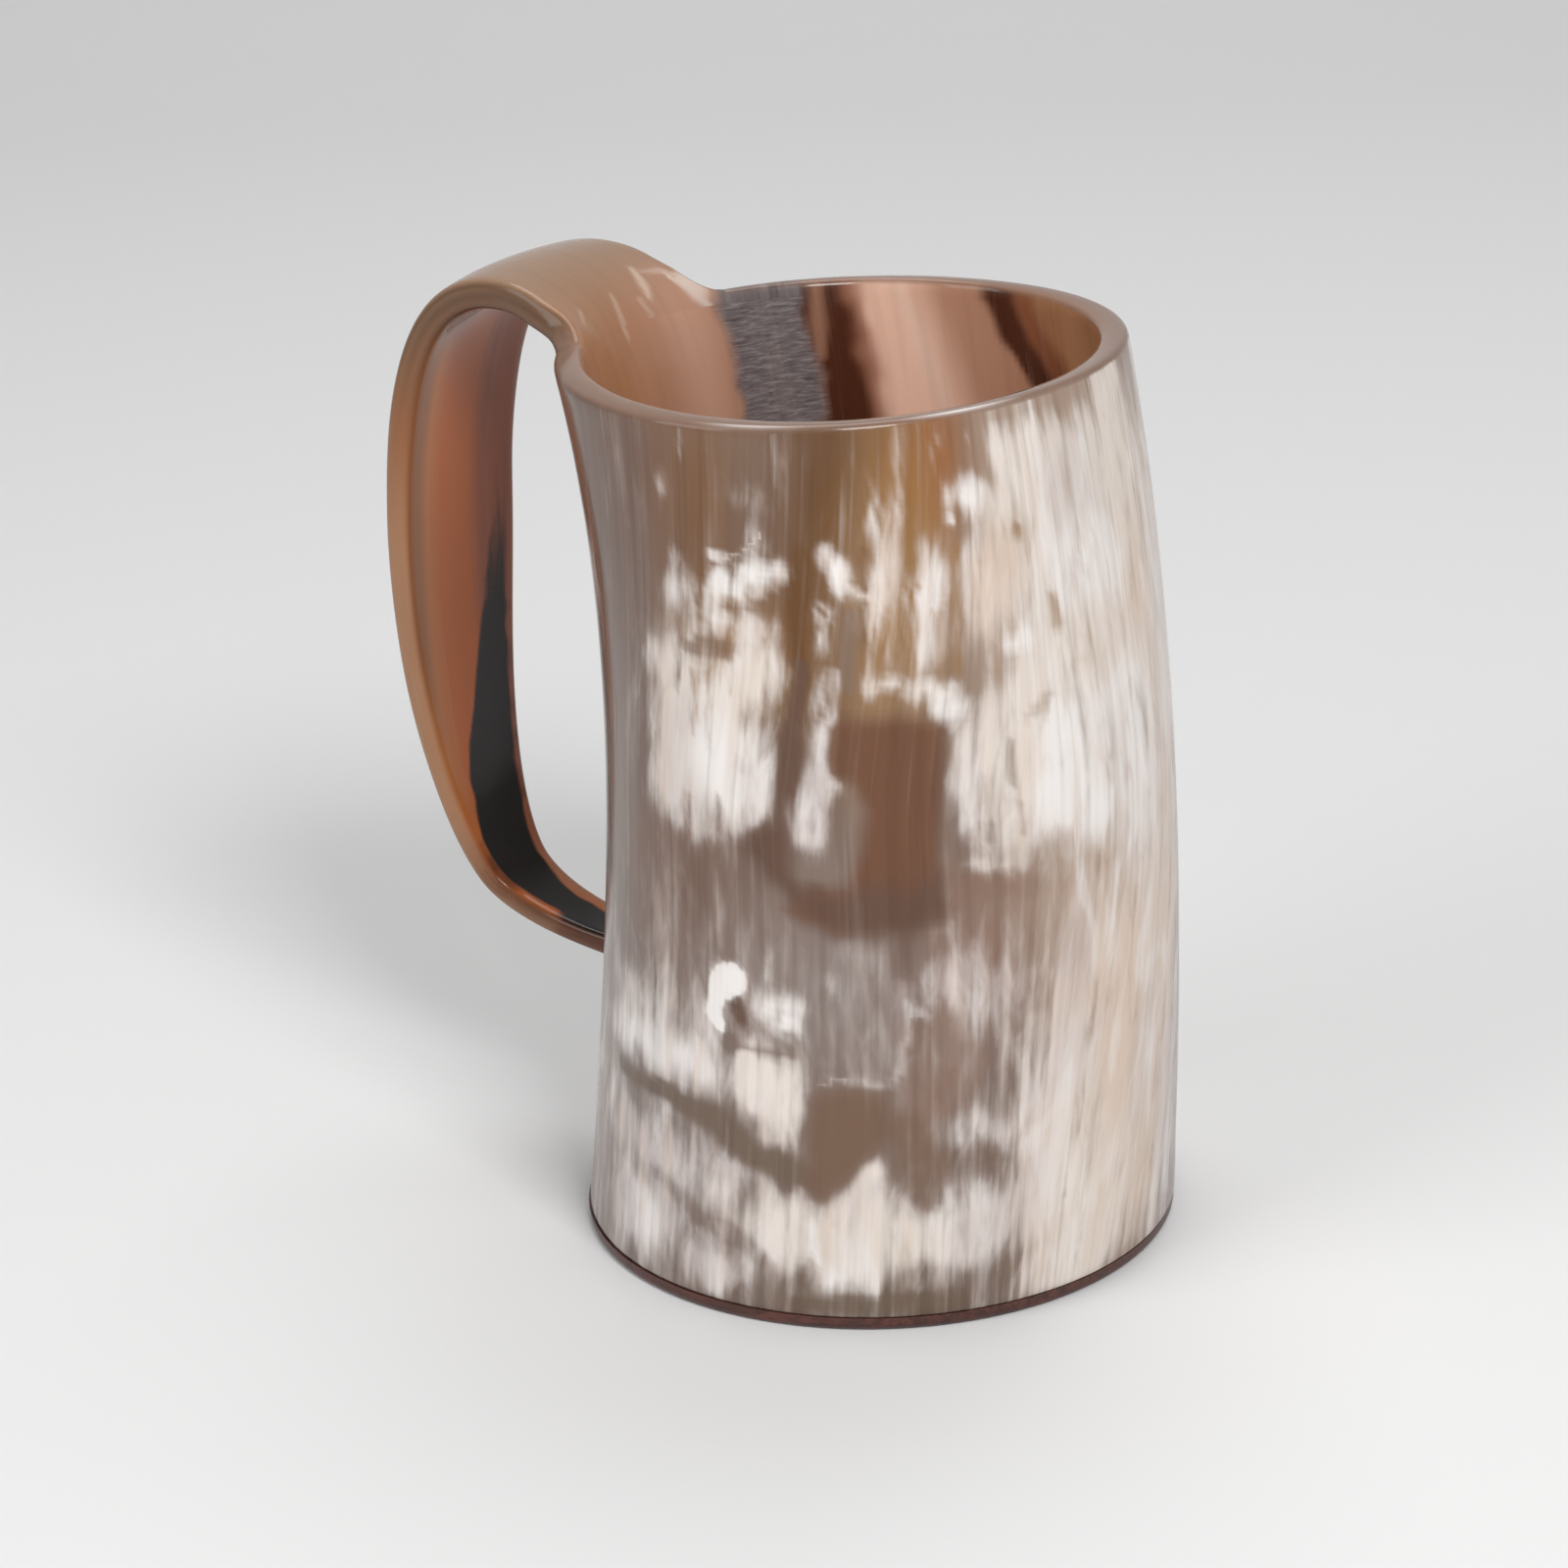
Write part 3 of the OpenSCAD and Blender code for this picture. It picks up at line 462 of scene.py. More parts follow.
# Brown strokes through the pale layer, written in the same way
SHADES = (
    (0.7, "wood", ((263.8, 107.5, 1.5), (269.9, 107.8, 1.9), (274, 108.7, 1.5))),
    (0.46, "honey", ((264.2, 103), (262.7, 93.8))),
    (0.28, "taupe", ((261.2, 107.1), (259.2, 100.8))),
    (0.33, "honey", ((275.1, 111.7), (273.3, 101.9))),
    (0.3, "sand", ((267.9, 103.5), (266.3, 92.7))),
    (0.27, "taupe", ((276, 98.4), (274.9, 89.3))),
    (0.31, "taupe", ((281.6, 110.7), (280.4, 100.2))),
    (0.45, "cocoa", ((270.7, 123), (267.9, 114.7))),
    (0.36, "taupe", ((276.2, 121.3), (275.6, 119.1))),
    (0.47, "cocoa", ((279.2, 116.4), (273.5, 114.5), (268.6, 112.5, 1))),
    (0.95, "amber", ((291.6, 123.4, 1.4), (288.9, 115.3, 1.8), (287.8, 106.5, 1.2))),
    (0.9, "umber", ((288.3, 106.5, 1), (285.6, 97.6, 1.2), (283, 88.4, 1.7))),
    (0.6, "taupe", ((299, 113.8, 1.7), (296.8, 103.7, 1.5))),
    (0.42, "amber", ((303.6, 123.8), (301, 109.4))),
    (0.39, "honey", ((313.4, 126), (309.3, 104.6))),
    (0.32, "honey", ((315.7, 114.2), (314.8, 102.6))),
    (0.5, "honey", ((321.2, 122.3, 0.8), (317.8, 103.8, 0.8))),
    (0.45, "honey", ((333.5, 123.8, 0.9), (333.9, 123.4, 1.4))),
    (0.5, "honey", ((340.6, 112, 0.9), (341.1, 108.6, 1.3))),
    (0.45, "sand", ((334.3, 96.5, 1.3), (337.5, 98.5, 0.9), (330.9, 95.3))),
    (0.95, "khaki", ((237.4, 34.2, 1.2), (254.5, 34.2, 1.5), (267.3, 32.2, 2.8), (277.2, 28.1, 2),
        (282.2, 26.7, 3.1), (288, 24.8, 1.3))),
    (0.5, "taupe", ((251.8, 20.1, 1.3), (261, 17.1, 1.5), (270.4, 14.6, 1.7), (278.9, 10.1, 1.3))),
    (0.9, "umber", ((271.3, 51.5, 1.5), (272.3, 50.1, 1.1))),
    (0.7, "taupe", ((269.2, 46, 1.2), (273.5, 45.4, 0.9), (282.7, 45.4, 1))),
    (0.85, "khaki", ((285, 4.1, 1.4), (301.4, 4.8, 2), (316, 4.1, 1.7))),
    (0.55, "rose", ((305.8, 48.5, 2.5), (311.4, 48.2, 4), (307.7, 40.5, 3.5), (306.8, 32.5, 2.9))),
    (0.7, "wood", ((305.4, 34.3, 3.1), (308.4, 26, 3.4), (309.8, 21.8, 2.2))),
    (0.6, "rose", ((313.2, 38.4, 3.9), (316.9, 44.4, 2.7))),
    (0.5, "wood", ((310.7, 27.4, 2.9), (319, 27.7, 2.9), (323.4, 27.4, 1.3))),
    (0.45, "rose", ((311.8, 72.9, 2.8), (319.5, 71.3, 2.6), (329.6, 70.5, 2))),
    (0.7, "umber", ((283.9, 71.7, 1.6), (291.5, 69.8, 2), (300.7, 67.9, 2.5), (311.6, 68.3, 2))),
    (0.45, "rose", ((317.6, 71.6, 1.8), (313.7, 68.9, 1.8))),
    (0.55, "umber", ((305.1, 68.1, 1.6), (304.4, 62.7, 1.3), (304, 58.1, 1))),
    (0.35, "taupe", ((327.3, 92.1), (327.1, 86.1))),
    (0.44, "taupe", ((328.9, 82.9), (329.1, 78.3))),
    (0.34, "taupe", ((322.1, 80.9), (321.9, 78.3))),
    (0.44, "taupe", ((260.3, 84.2), (259.9, 79.4))),
    (0.5, "taupe", ((267.8, 84.6), (267.5, 80.7, 1))),
    (0.3, "sand", ((345.3, 51.5), (340.8, 33.4), (337, 18))),
    (0.3, "sand", ((358.3, 63.8), (354, 42.7))),
    # painted reflection: a dark line on the wall beside the handle, where the wall mirrors it
    (0.5, "umber", ((218, 138, 1.2), (218.8, 122, 2), (217.6, 108, 1), (218.2, 96, 1.6))),
)
# Painted highlights: pale flecks where the handle leaves the wall; then two pale streaks on the inside wall, which
# are its own markings; written in the same way
HIGHLIGHTS_AND_STREAKS = (
    (0.6, "peach", ((167.6, 149.6, 0.4), (168.6, 146.6, 0.9), (169.4, 144.6, 0.4))),
    (0.55, "cream", ((161.4, 146.8, 0.4), (158.6, 143.6, 1), (156.4, 141.3, 0.5))),
    (0.4, "peach", ((179, 146.4, 0.4), (180.6, 142.4, 0.6), (181.3, 138.1, 0.4))),
    (0.35, "peach", ((172, 144.6, 0.5), (171.2, 141, 0.4))),
    (0.3, "peach", ((194, 145.9, 0.5), (196.6, 144.5, 0.4))),
    (0.6, "tan", ((131.6, 139.5, 1.1), (132.6, 134, 1.6), (133, 129, 0.8))),
    (0.3, "peach", ((112, 139, 1), (108, 128, 1.6), (105, 120, 1.2))),
)
# Broad tints under the patches, written as these are
TINTS = (
    (244, 122, 18, 26, 1, "mauve"), (258, 134, 10, 12, 1, "mauve"), (274, 130, 9, 14, 1, "cocoa"),
    (285, 130, 5, 12, 0.7, "taupe"), (299, 130, 11, 22, 1, "amber"), (315, 132, 6, 12, 1, "honey"),
    (322, 136, 8, 10, 1, "ginger"), (291, 110, 7, 14, 1, "amber"), (308, 112, 9, 16, 0.9, "honey"),
    (272, 106, 10, 8, 0.8, "honey"), (332, 118, 9, 20, 1, "sand"), (350, 115, 18, 30, 1, "sand"),
    (258, 72, 20, 14, 1, "mauve"), (228, 95, 12, 40, 0.8, "grey"), (228, 120, 12, 20, 0.8, "umber"),
    (292, 56, 20, 12, 0.9, "grey"), (322, 64, 14, 12, 0.9, "rose"), (350, 68, 16, 14, 1, "sand"),
    (250, 20, 26, 26, 0.9, "grey"), (300, 4, 26, 7, 1, "khaki"), (352, 30, 20, 30, 0.9, "sand"),
    (379, 12, 7, 16, 1, "plum"), (380, 70, 8, 60, 0.7, "sand"),
)
# The handle's face toward the cup: inks and where each lies across it. The inks are lighter than the horn's own,
# painted light against the shade on this face
FACE_LIGHTENED_INKS, FACE_SHARES = ("chestnut", "rust", "rust", "copper", "edge"), (0.28, 0.4, 0.7, 0.84, 0.95)
# Bands inside the cup: ink, strength, softness in degrees, heights, and both borders' angles there
WASHES = (
    ("skin", 1, 14, (100, 141), (126, 126), (92, 107)),
    ("root", 0.75, 14, (0, 141), (76, 80), (20, 20)),
)
STAINS = (
    ("sienna", 0.8, 5, (0, 125, 138), (132, 132, 133), (118, 120, 122)),
    ("sienna", 0.8, 7, (100, 128, 138.5), (56, 80, 88), (36, 64, 74)),
    ("coffee", 1, 4.5, (0, 125, 138, 160), (134, 134, 137, 137), (122, 124, 126, 127)),
    ("coffee", 1, 4, (100, 128, 138.5, 160), (56, 82.6, 91.4, 93), (44, 72.5, 81.5, 86)),
)
# The scratched slate band inside and the black band down the handle, without ink and strength
SLATE = (3.6, (0, 120, 141, 160, 300), (153, 153.6, 154.8, 158, 166), (132, 133.5, 136, 150, 158))
BLACK = (2.4, (176, 206, 225, 241, 253, 266, 284, 296), (165, 167.4, 171.4, 178, 185.2, 187.8, 185.4, 184.6),
         (158, 162.5, 164.3, 167.0, 169.6, 172.4, 176.5, 179))
# How the black band gains strength down the handle: share, start and length in millimetres
BLACK_GAIN = ((0.15, 192, 14), (0.5, 208, 18), (0.35, 224, 16))
# Waves that make borders wander: strength, step in degrees, step in millimetres, seed
ANGLE_WAVES = ((0.5, 6, 7, 1), (0.7, 3, 4, 2))
HEIGHT_WAVES = ((0.8, 6, 7, 3), (1.0, 3, 4, 4))
INNER_WAVES = ((1.2, 5, 3, 7), (1.2, 9, 9, 8), (0.8, 4, 4, 9))
BLACK_WAVES = ((0.7, 5, 3.2, 6),)
# A patch's soft border: greatest and least share, and millimetres; THIN is the least half width of a stroke
SOFT_MOST, SOFT_LEAST, SOFT_MM, THIN = 0.98, 0.4, 2.0, 0.7
# The far side: seed, counts of pale and clear patches, and their inks
FAR_SEED, FAR_PALE, FAR_CLEAR = 12, 60, 16
FAR_PALE_INKS = ("white", "cream", "pearl", "lilac", "peach")
FAR_CLEAR_INKS = ("brown", "umber", "khaki", "rose", "wood")
# Lean of the fibres, low on the right and high in front: degrees per millimetre, border and middle angle
LOW_LEAN, LOW_TOP, LOW_A, HIGH_LEAN, HIGH_FOOT, HIGH_A = 0.24, 110, 370, 0.3, 80, 280
# Softness of tints, strokes, shades and the painted highlights with their streaks, and how far strokes and shades
# wander
TINT_SOFT, STROKE_SOFT, SHADE_SOFT, HIGHLIGHT_AND_STREAK_SOFT, STROKE_SHARE, SHADE_SHARE = 2.2, 0.5, 0.55, 0.9, 0.3, 0.6
# The palest share, the windows' middle angle, and where the handle's face starts past the rim and across
MOST_PALE, WINDOW_A, FACE_START, FACE_A, FACE_WIDTH = 0.88, 300, 3, 163, 34


def above(z, start, fade):
    return smooth((z - start) / fade)


def below(z, end, fade):
    return smooth((end - z) / fade)


def hump(x, reach):
    return smooth(1 - np.abs(x) / reach)


def ridge(x, width):
    return np.exp(-(x / width) ** 2)


def joined(p, q):
    return 1 - (1 - p) * (1 - q)


def plain(ink, a):
    return np.tile(INK[ink], (len(a), 1))


def dye(colour, ink, share):
    """Lays a named ink over a colour, by a share for each point."""
    return mix(colour, INK[ink], share[:, None])


def wandered(x, a, z, waves):
    for strength, *wave in waves:
        x = x + strength * drift(a, z, *wave)
    return x


def fibre(a, z):
    """The angle that a fibre starts from: they lean low down on the right of the seen side and high up in front."""
    low = LOW_LEAN * below(np.abs(apart(a, LOW_A)), 60, 40) * below(z, LOW_TOP, 60) * (z - 70)
    rise = np.clip(z, HIGH_FOOT, RIM_H) - HIGH_FOOT
    high = HIGH_LEAN * below(np.abs(apart(a, HIGH_A)), 70, 35) * rise * rise / (rise + 10)
    return a - low - high


def laid(colour, layers):
    """Lays inks over a colour; also gives how much of the surface they cover."""
    cover = 0
    for ink, share in layers:
        cover = joined(cover, share)
        colour = dye(colour, ink, share)
    return colour, cover


def patches(a, z, spots, soften=1.0):
    """Ellipses that follow the fibres."""
    turned = fibre(a, z)
    for a0, z0, half_a, half_z, strength, ink in spots:
        soft = soften * min(SOFT_MOST, SOFT_LEAST + SOFT_MM / min(half_a * MM_PER_DEG, half_z))
        d = np.hypot(apart(turned, fibre(a0, z0)) / half_a, (z - z0) / half_z)
        yield ink, np.clip(smooth((1 + soft - d) / (2 * soft)) * strength, 0, 1)


def brush(a, z, strokes, soft):
    """Strokes through their points."""
    for strength, ink, pts in strokes:
        pts = [(*p, THIN)[:3] for p in pts]
        best = np.full(len(a), np.inf)
        for (a0, z0, r0), (a1, z1, r1) in zip(pts, pts[1:]):
            px, pz = apart(a, a0) * MM_PER_DEG, z - z0
            dx, dz = (a1 - a0) * MM_PER_DEG, z1 - z0
            t = np.clip((px * dx + pz * dz) / (dx * dx + dz * dz), 0, 1)
            best = np.minimum(best, np.hypot(px - t * dx, pz - t * dz) / mix(r0, r1, t))
        yield ink, np.clip(smooth((1 + soft - best) / (2 * soft)) * strength, 0, 1)


def polygons(a, z, windows):
    """Areas inside their corners, soft along their sides."""
    p = np.stack([apart(a, WINDOW_A) * MM_PER_DEG, z], -1)
    for ink, soft, corners in windows:
        c = np.array([[(x - WINDOW_A) * MM_PER_DEG, y] for x, y in corners])
        near = np.full(len(a), np.inf)
        inside = np.zeros(len(a), bool)
        for s, e in zip(c, np.roll(c, -1, 0)):
            d = e - s
            t = np.clip(((p - s) @ d) / (d @ d), 0, 1)
            near = np.minimum(near, np.linalg.norm(p - s - t[:, None] * d, axis=1))
            crosses = (s[1] > p[:, 1]) != (e[1] > p[:, 1])
            at = s[0] + (p[:, 1] - s[1]) / (e[1] - s[1] + 1e-9) * d[0]
            inside ^= crosses & (p[:, 0] < at)
        yield ink, smooth(0.5 + np.where(inside, near, -near) / (2 * soft))


def far_side_spots(rng):
    """Patches of the same kinds for the side that the photograph doesn't show."""
    pale, clear = [], []
    for _ in range(FAR_PALE):
        pale.append((rng.uniform(32, 218), rng.uniform(6, 136), rng.uniform(3, 12), rng.uniform(3, 14),
                     rng.uniform(0.4, 1.0), FAR_PALE_INKS[rng.integers(len(FAR_PALE_INKS))]))
    for _ in range(FAR_CLEAR):
        a0, z0 = rng.uniform(40, 208), rng.uniform(10, 130)
        a1, z1 = a0 + rng.uniform(-9, 9), z0 + rng.uniform(-14, 14)
        clear.append((rng.uniform(0.6, 1.0), FAR_CLEAR_INKS[rng.integers(len(FAR_CLEAR_INKS))],
                      ((a0, z0, rng.uniform(1.5, 5)), (a1, z1, rng.uniform(1, 4)))))
    return tuple(pale), tuple(clear)


def between(a, z, soft, heights, upper, lower):
    """1 between two borders that run along the horn, each a table of angle against height."""
    hi, lo = np.interp(z, heights, upper), np.interp(z, heights, lower)
    return smooth((hi - a) / soft + 0.5) * smooth((a - lo) / soft + 0.5)


def colour_outside(a, z):
    """The wall's outside and, beyond the rim, the handle's face toward the cup."""
    far_pale, far_clear = far_side_spots(np.random.default_rng(FAR_SEED))
    aw, zw = wandered(a, a, z, ANGLE_WAVES), wandered(z, a, z, HEIGHT_WAVES)
    under, _ = laid(plain("taupe", a), patches(a, z, TINTS, TINT_SOFT))
    over, pale = laid(plain("pearl", a), patches(aw, zw, PALE + far_pale))
    over, lines = laid(over, brush(mix(a, aw, STROKE_SHARE), mix(z, zw, STROKE_SHARE), STROKES, STROKE_SOFT))
    veil = 0.02 + 0.2 * below(z, 84, 30) + 0.08 * drift(a, z, 9, 30, 5)
    pale = np.minimum(joined(pale, np.clip(veil, 0, 1)), MOST_PALE)
    aw, zw = mix(a, aw, SHADE_SHARE), mix(z, zw, SHADE_SHARE)
    shaded, shade = laid(under, brush(aw, zw, SHADES + far_clear, SHADE_SOFT))
    pale = pale * (1 - 0.95 * shade)
    brown, clear = laid(shaded, polygons(aw, zw, WINDOWS))
    pale = np.maximum(pale * (1 - clear), 0.7 * lines)
    # the handle's face, in inks lightened as painted light against its shade
    grip = smooth((z - RIM_H - FACE_START) / 14)
    across = np.clip((a - FACE_A) / FACE_WIDTH, 0, 1)
    tone = np.stack([np.interp(across, FACE_SHARES, [INK[k][c] for k in FACE_LIGHTENED_INKS]) for c in range(3)], -1)
    tone = dye(tone, "sienna", 0.7 * smooth(1 - np.hypot((a - 190) / 8, (z - 171) / 9)))
    tone = dye(tone, "fawn", 0.5 * above(z, 262, 16) * below(across, 0.5, 0.2))
    tone = dye(tone, "ember", 0.85 * below(z, 178, 16))
    return mix(brown, tone, grip[:, None]), over, mix(pale, -0.6, grip), clear * (1 - grip), lines


def colour_inside(a, z):
    """The wall's inside and, beyond the rim, the handle's face away from the cup."""
    b = a % 360
    tan = plain("tan", a)
    for ink, strength, *border in WASHES:
        tan = dye(tan, ink, strength * between(b, z, *border))
    tan = dye(tan, "root", 0.7 * hump(b - 197, 30))
    tan = dye(tan, "skin", 0.3 * hump(b - 163, 12) * below(z, 150, 12))
    b = wandered(b, a, z, INNER_WAVES)
    for ink, strength, *border in STAINS:
        tan = dye(tan, ink, strength * between(b, z, *border))
    slate = between(b, z, *SLATE) * below(z, 178, 36)
    tan = dye(tan, "slate", slate)
    tan = dye(tan, "olive", above(z, 139, 16) * (1 - slate) * 0.85)
    tan = dye(tan, "umber", above(z, 172, 50) * 0.55)
    # painted highlights where the handle leaves the wall, and pale streaks inside
    return laid(tan, brush(a, z, HIGHLIGHTS_AND_STREAKS, HIGHLIGHT_AND_STREAK_SOFT))[0], slate


def colour_horn(facts):
    """Per point: tint below, pale tint, and shares of pale, clear, dark, scratches, calm and lines."""
    a, z, side = facts.T
    on_strip = z > RIM_H
    gain = sum(share * above(z, start, length) for share, start, length in BLACK_GAIN)
    black = np.where(on_strip, between(wandered(a, a, z, BLACK_WAVES), z, *BLACK) * gain, 0)
    under, over, pale, clear, lines = colour_outside(a, z)
    tan, slate = colour_inside(a, z)
    inner = smooth(0.5 - side / 1.2)
    under = mix(under, tan, inner[:, None])
    # a share below zero is one that the noises can't lift
    pale, clear = mix(pale, -0.5, inner), mix(clear, 0, inner)
    dark = mix(black, black * above(z, 205, 40) * 0.9, inner)
    # the cut rim is a plain taupe; its darker border, where the flat top turns down at both corners, is painted
    # shade
    rolled = smooth((1 - np.abs(side)) / np.where(on_strip, 0.3, 0.12))
    rim_tone = dye(plain("lip", a), "tan", smooth(-side / 1.2) * 0.3)
    rim_tone = dye(rim_tone, "slate", 0.5 * slate)
    rim_tone = dye(rim_tone, "umber", 0.55 * ridge(np.abs(side) - 0.9, 0.07))
    # the handle's edges are browner than its faces, and darkest in the arch and toward the tip
    toward = smooth(0.5 + side)
    arch = dye(INK["cork"], "bark", np.maximum(toward, below(a, 172, 6)))
    arch = dye(arch, "fawn", 0.35 * smooth(drift(a, 3 * side, 40, 0.5, 10)))
    along = dye(INK["edge"], "fawn", above(z, 188, 30))
    grip_tone = mix(arch, along, (above(z, 170, 28) * 0.92)[:, None])
    grip_tone = dye(grip_tone, "bark", above(z, 258, 24) * (0.4 + 0.5 * toward))
    crease = ridge(side + 0.6, 0.13) + 0.6 * ridge(side + 0.1, 0.1)
    grip_tone = dye(grip_tone, "bark", 0.6 * crease * below(z, 186, 14))
    flank = mix(rim_tone, grip_tone, above(z, 139, 8)[:, None])
    under = mix(under, flank, (rolled * np.where(on_strip, 0.85, 0.92))[:, None])
    pale, clear, dark = mix(pale, -0.4, rolled), clear * (1 - rolled), dark * (1 - 0.5 * rolled)
    # painted highlight: a paler line along the rim's outer corner in front
    painted_lip_highlight = ridge(side - 0.72, 0.12) * (hump(apart(a, 328), 15) + 0.5 * hump(apart(a, 286), 14))
    under = dye(under, "white", 0.85 * painted_lip_highlight * (z < RIM_H))
    calm = np.maximum(np.maximum(0.55 * inner, rolled * ~on_strip), 0.75 * on_strip)
    return under, over, np.stack([pale, clear, dark, slate * inner, calm, lines * (1 - inner) * ~on_strip], -1)


def link(name, data):
    obj = bpy.data.objects.new(name, data)
    bpy.context.scene.collection.objects.link(obj)
    return obj


def new_mesh(name, pts, faces):
    mesh = bpy.data.meshes.new(name)
    mesh.from_pydata([tuple(p) for p in pts], [], faces)
    mesh.update()
    mesh.shade_smooth()
    return link(name, mesh)


class Nodes:
    """Short ways to write a material's node tree."""

    def __init__(self, name):
        self.mat = bpy.data.materials.new(name)
        self.mat.use_nodes = True
        self.tree = self.mat.node_tree
        self.shader = self.tree.nodes["Principled BSDF"]

    def put(self, kind, props=(), *values, **inputs):
        """Adds a node. The values go to its first sockets, the inputs to those of that name."""
        node = self.tree.nodes.new("ShaderNode" + kind)
        for key, value in dict(props).items():
            setattr(node, key, value)
        for key, value in (*enumerate(values), *inputs.items()):
            self.feed(node, key, value)
        return node

    def feed(self, node, key, value):
        socket = node.inputs[key if isinstance(key, int) else key.replace("_", " ")]
        if hasattr(value, "is_output"):
            self.tree.links.new(value, socket)
        else:
            socket.default_value = value

    def set(self, **inputs):
        for key, value in inputs.items():
            self.feed(self.shader, key, value)

    def attr(self, name, out="Vector"):
        return self.put("Attribute", {"attribute_name": name}).outputs[out]

    def maths(self, how, a, b):
        return self.put("Math", {"operation": how}, a, b).outputs[0]

    def plus(self, a, b):
        return self.maths("ADD", a, b)

    def times(self, a, b):
        return self.maths("MULTIPLY", a, b)

    def ramp(self, *values, kind="SMOOTHSTEP"):
        """Takes a value, its low and high end and, unless they are 0 and 1, what these become."""
        return self.put("MapRange", {"interpolation_type": kind}, *values).outputs[0]

    def mixed(self, share, a, b, how="MIX"):
        node = self.put("Mix", {"data_type": "RGBA", "blend_type": how}, share)
        self.feed(node, 6, a)
        self.feed(node, 7, b)
        return node.outputs[2]

    def stretched(self, vector, scale):
        return self.put("VectorMath", {"operation": "MULTIPLY"}, vector, scale).outputs[0]

    def noise(self, vector, scale, detail, rough, warp=0.0):
        return self.put("TexNoise", Vector=vector, Scale=scale, Detail=detail, Roughness=rough,
                        Distortion=warp).outputs[0]

    def total(self, *parts):
        """The sum of noises about their middle, each times its weight."""
        out = None
        for value, weight in parts:
            term = self.times(self.maths("SUBTRACT", value, 0.5), weight)
            out = term if out is None else self.plus(out, term)
        return out

    def bump(self, height, distance, strength, after=None):
        node = self.put("Bump", Height=height, Distance=distance, Strength=strength)
        if after is not None:
            self.feed(node, "Normal", after)
        return node.outputs[0]


def rgba(ink):
    return (*INK[ink], 1.0)


# Noises along the horn's fibres: squeeze lengthwise, fineness, detail and warp
NOISES = ((0.07, 0.4, 2, 0), (0.025, 0.8, 2, 0), (0.05, 1.4, 2, 0), (0.35, 0.15, 3, 0.6), (0.3, 0.4, 3, 0.6))
FIBRE_SHADE, CUT_PALE, CUT_DARK = (0.5, 0.45, 0.42, 1), (0.30, 0.27, 0.26, 1), (0.03, 0.025, 0.025, 1)
# Depth of the relief in metres: fibres, scratches, wood and resin
FIBRE_DEPTH, CUT_DEPTH, WOOD_DEPTH, RESIN_DEPTH = 0.00006, 0.0002, 0.0001, 0.0003
# Grain's radius in the middle of the wall, and how much it grows toward the outside, in millimetres
GRAIN_R, GRAIN_OUT = 43.5, 2.5
FIELDS = {"FLOAT_VECTOR": "vector", "FLOAT_COLOR": "color", "FLOAT": "value"}


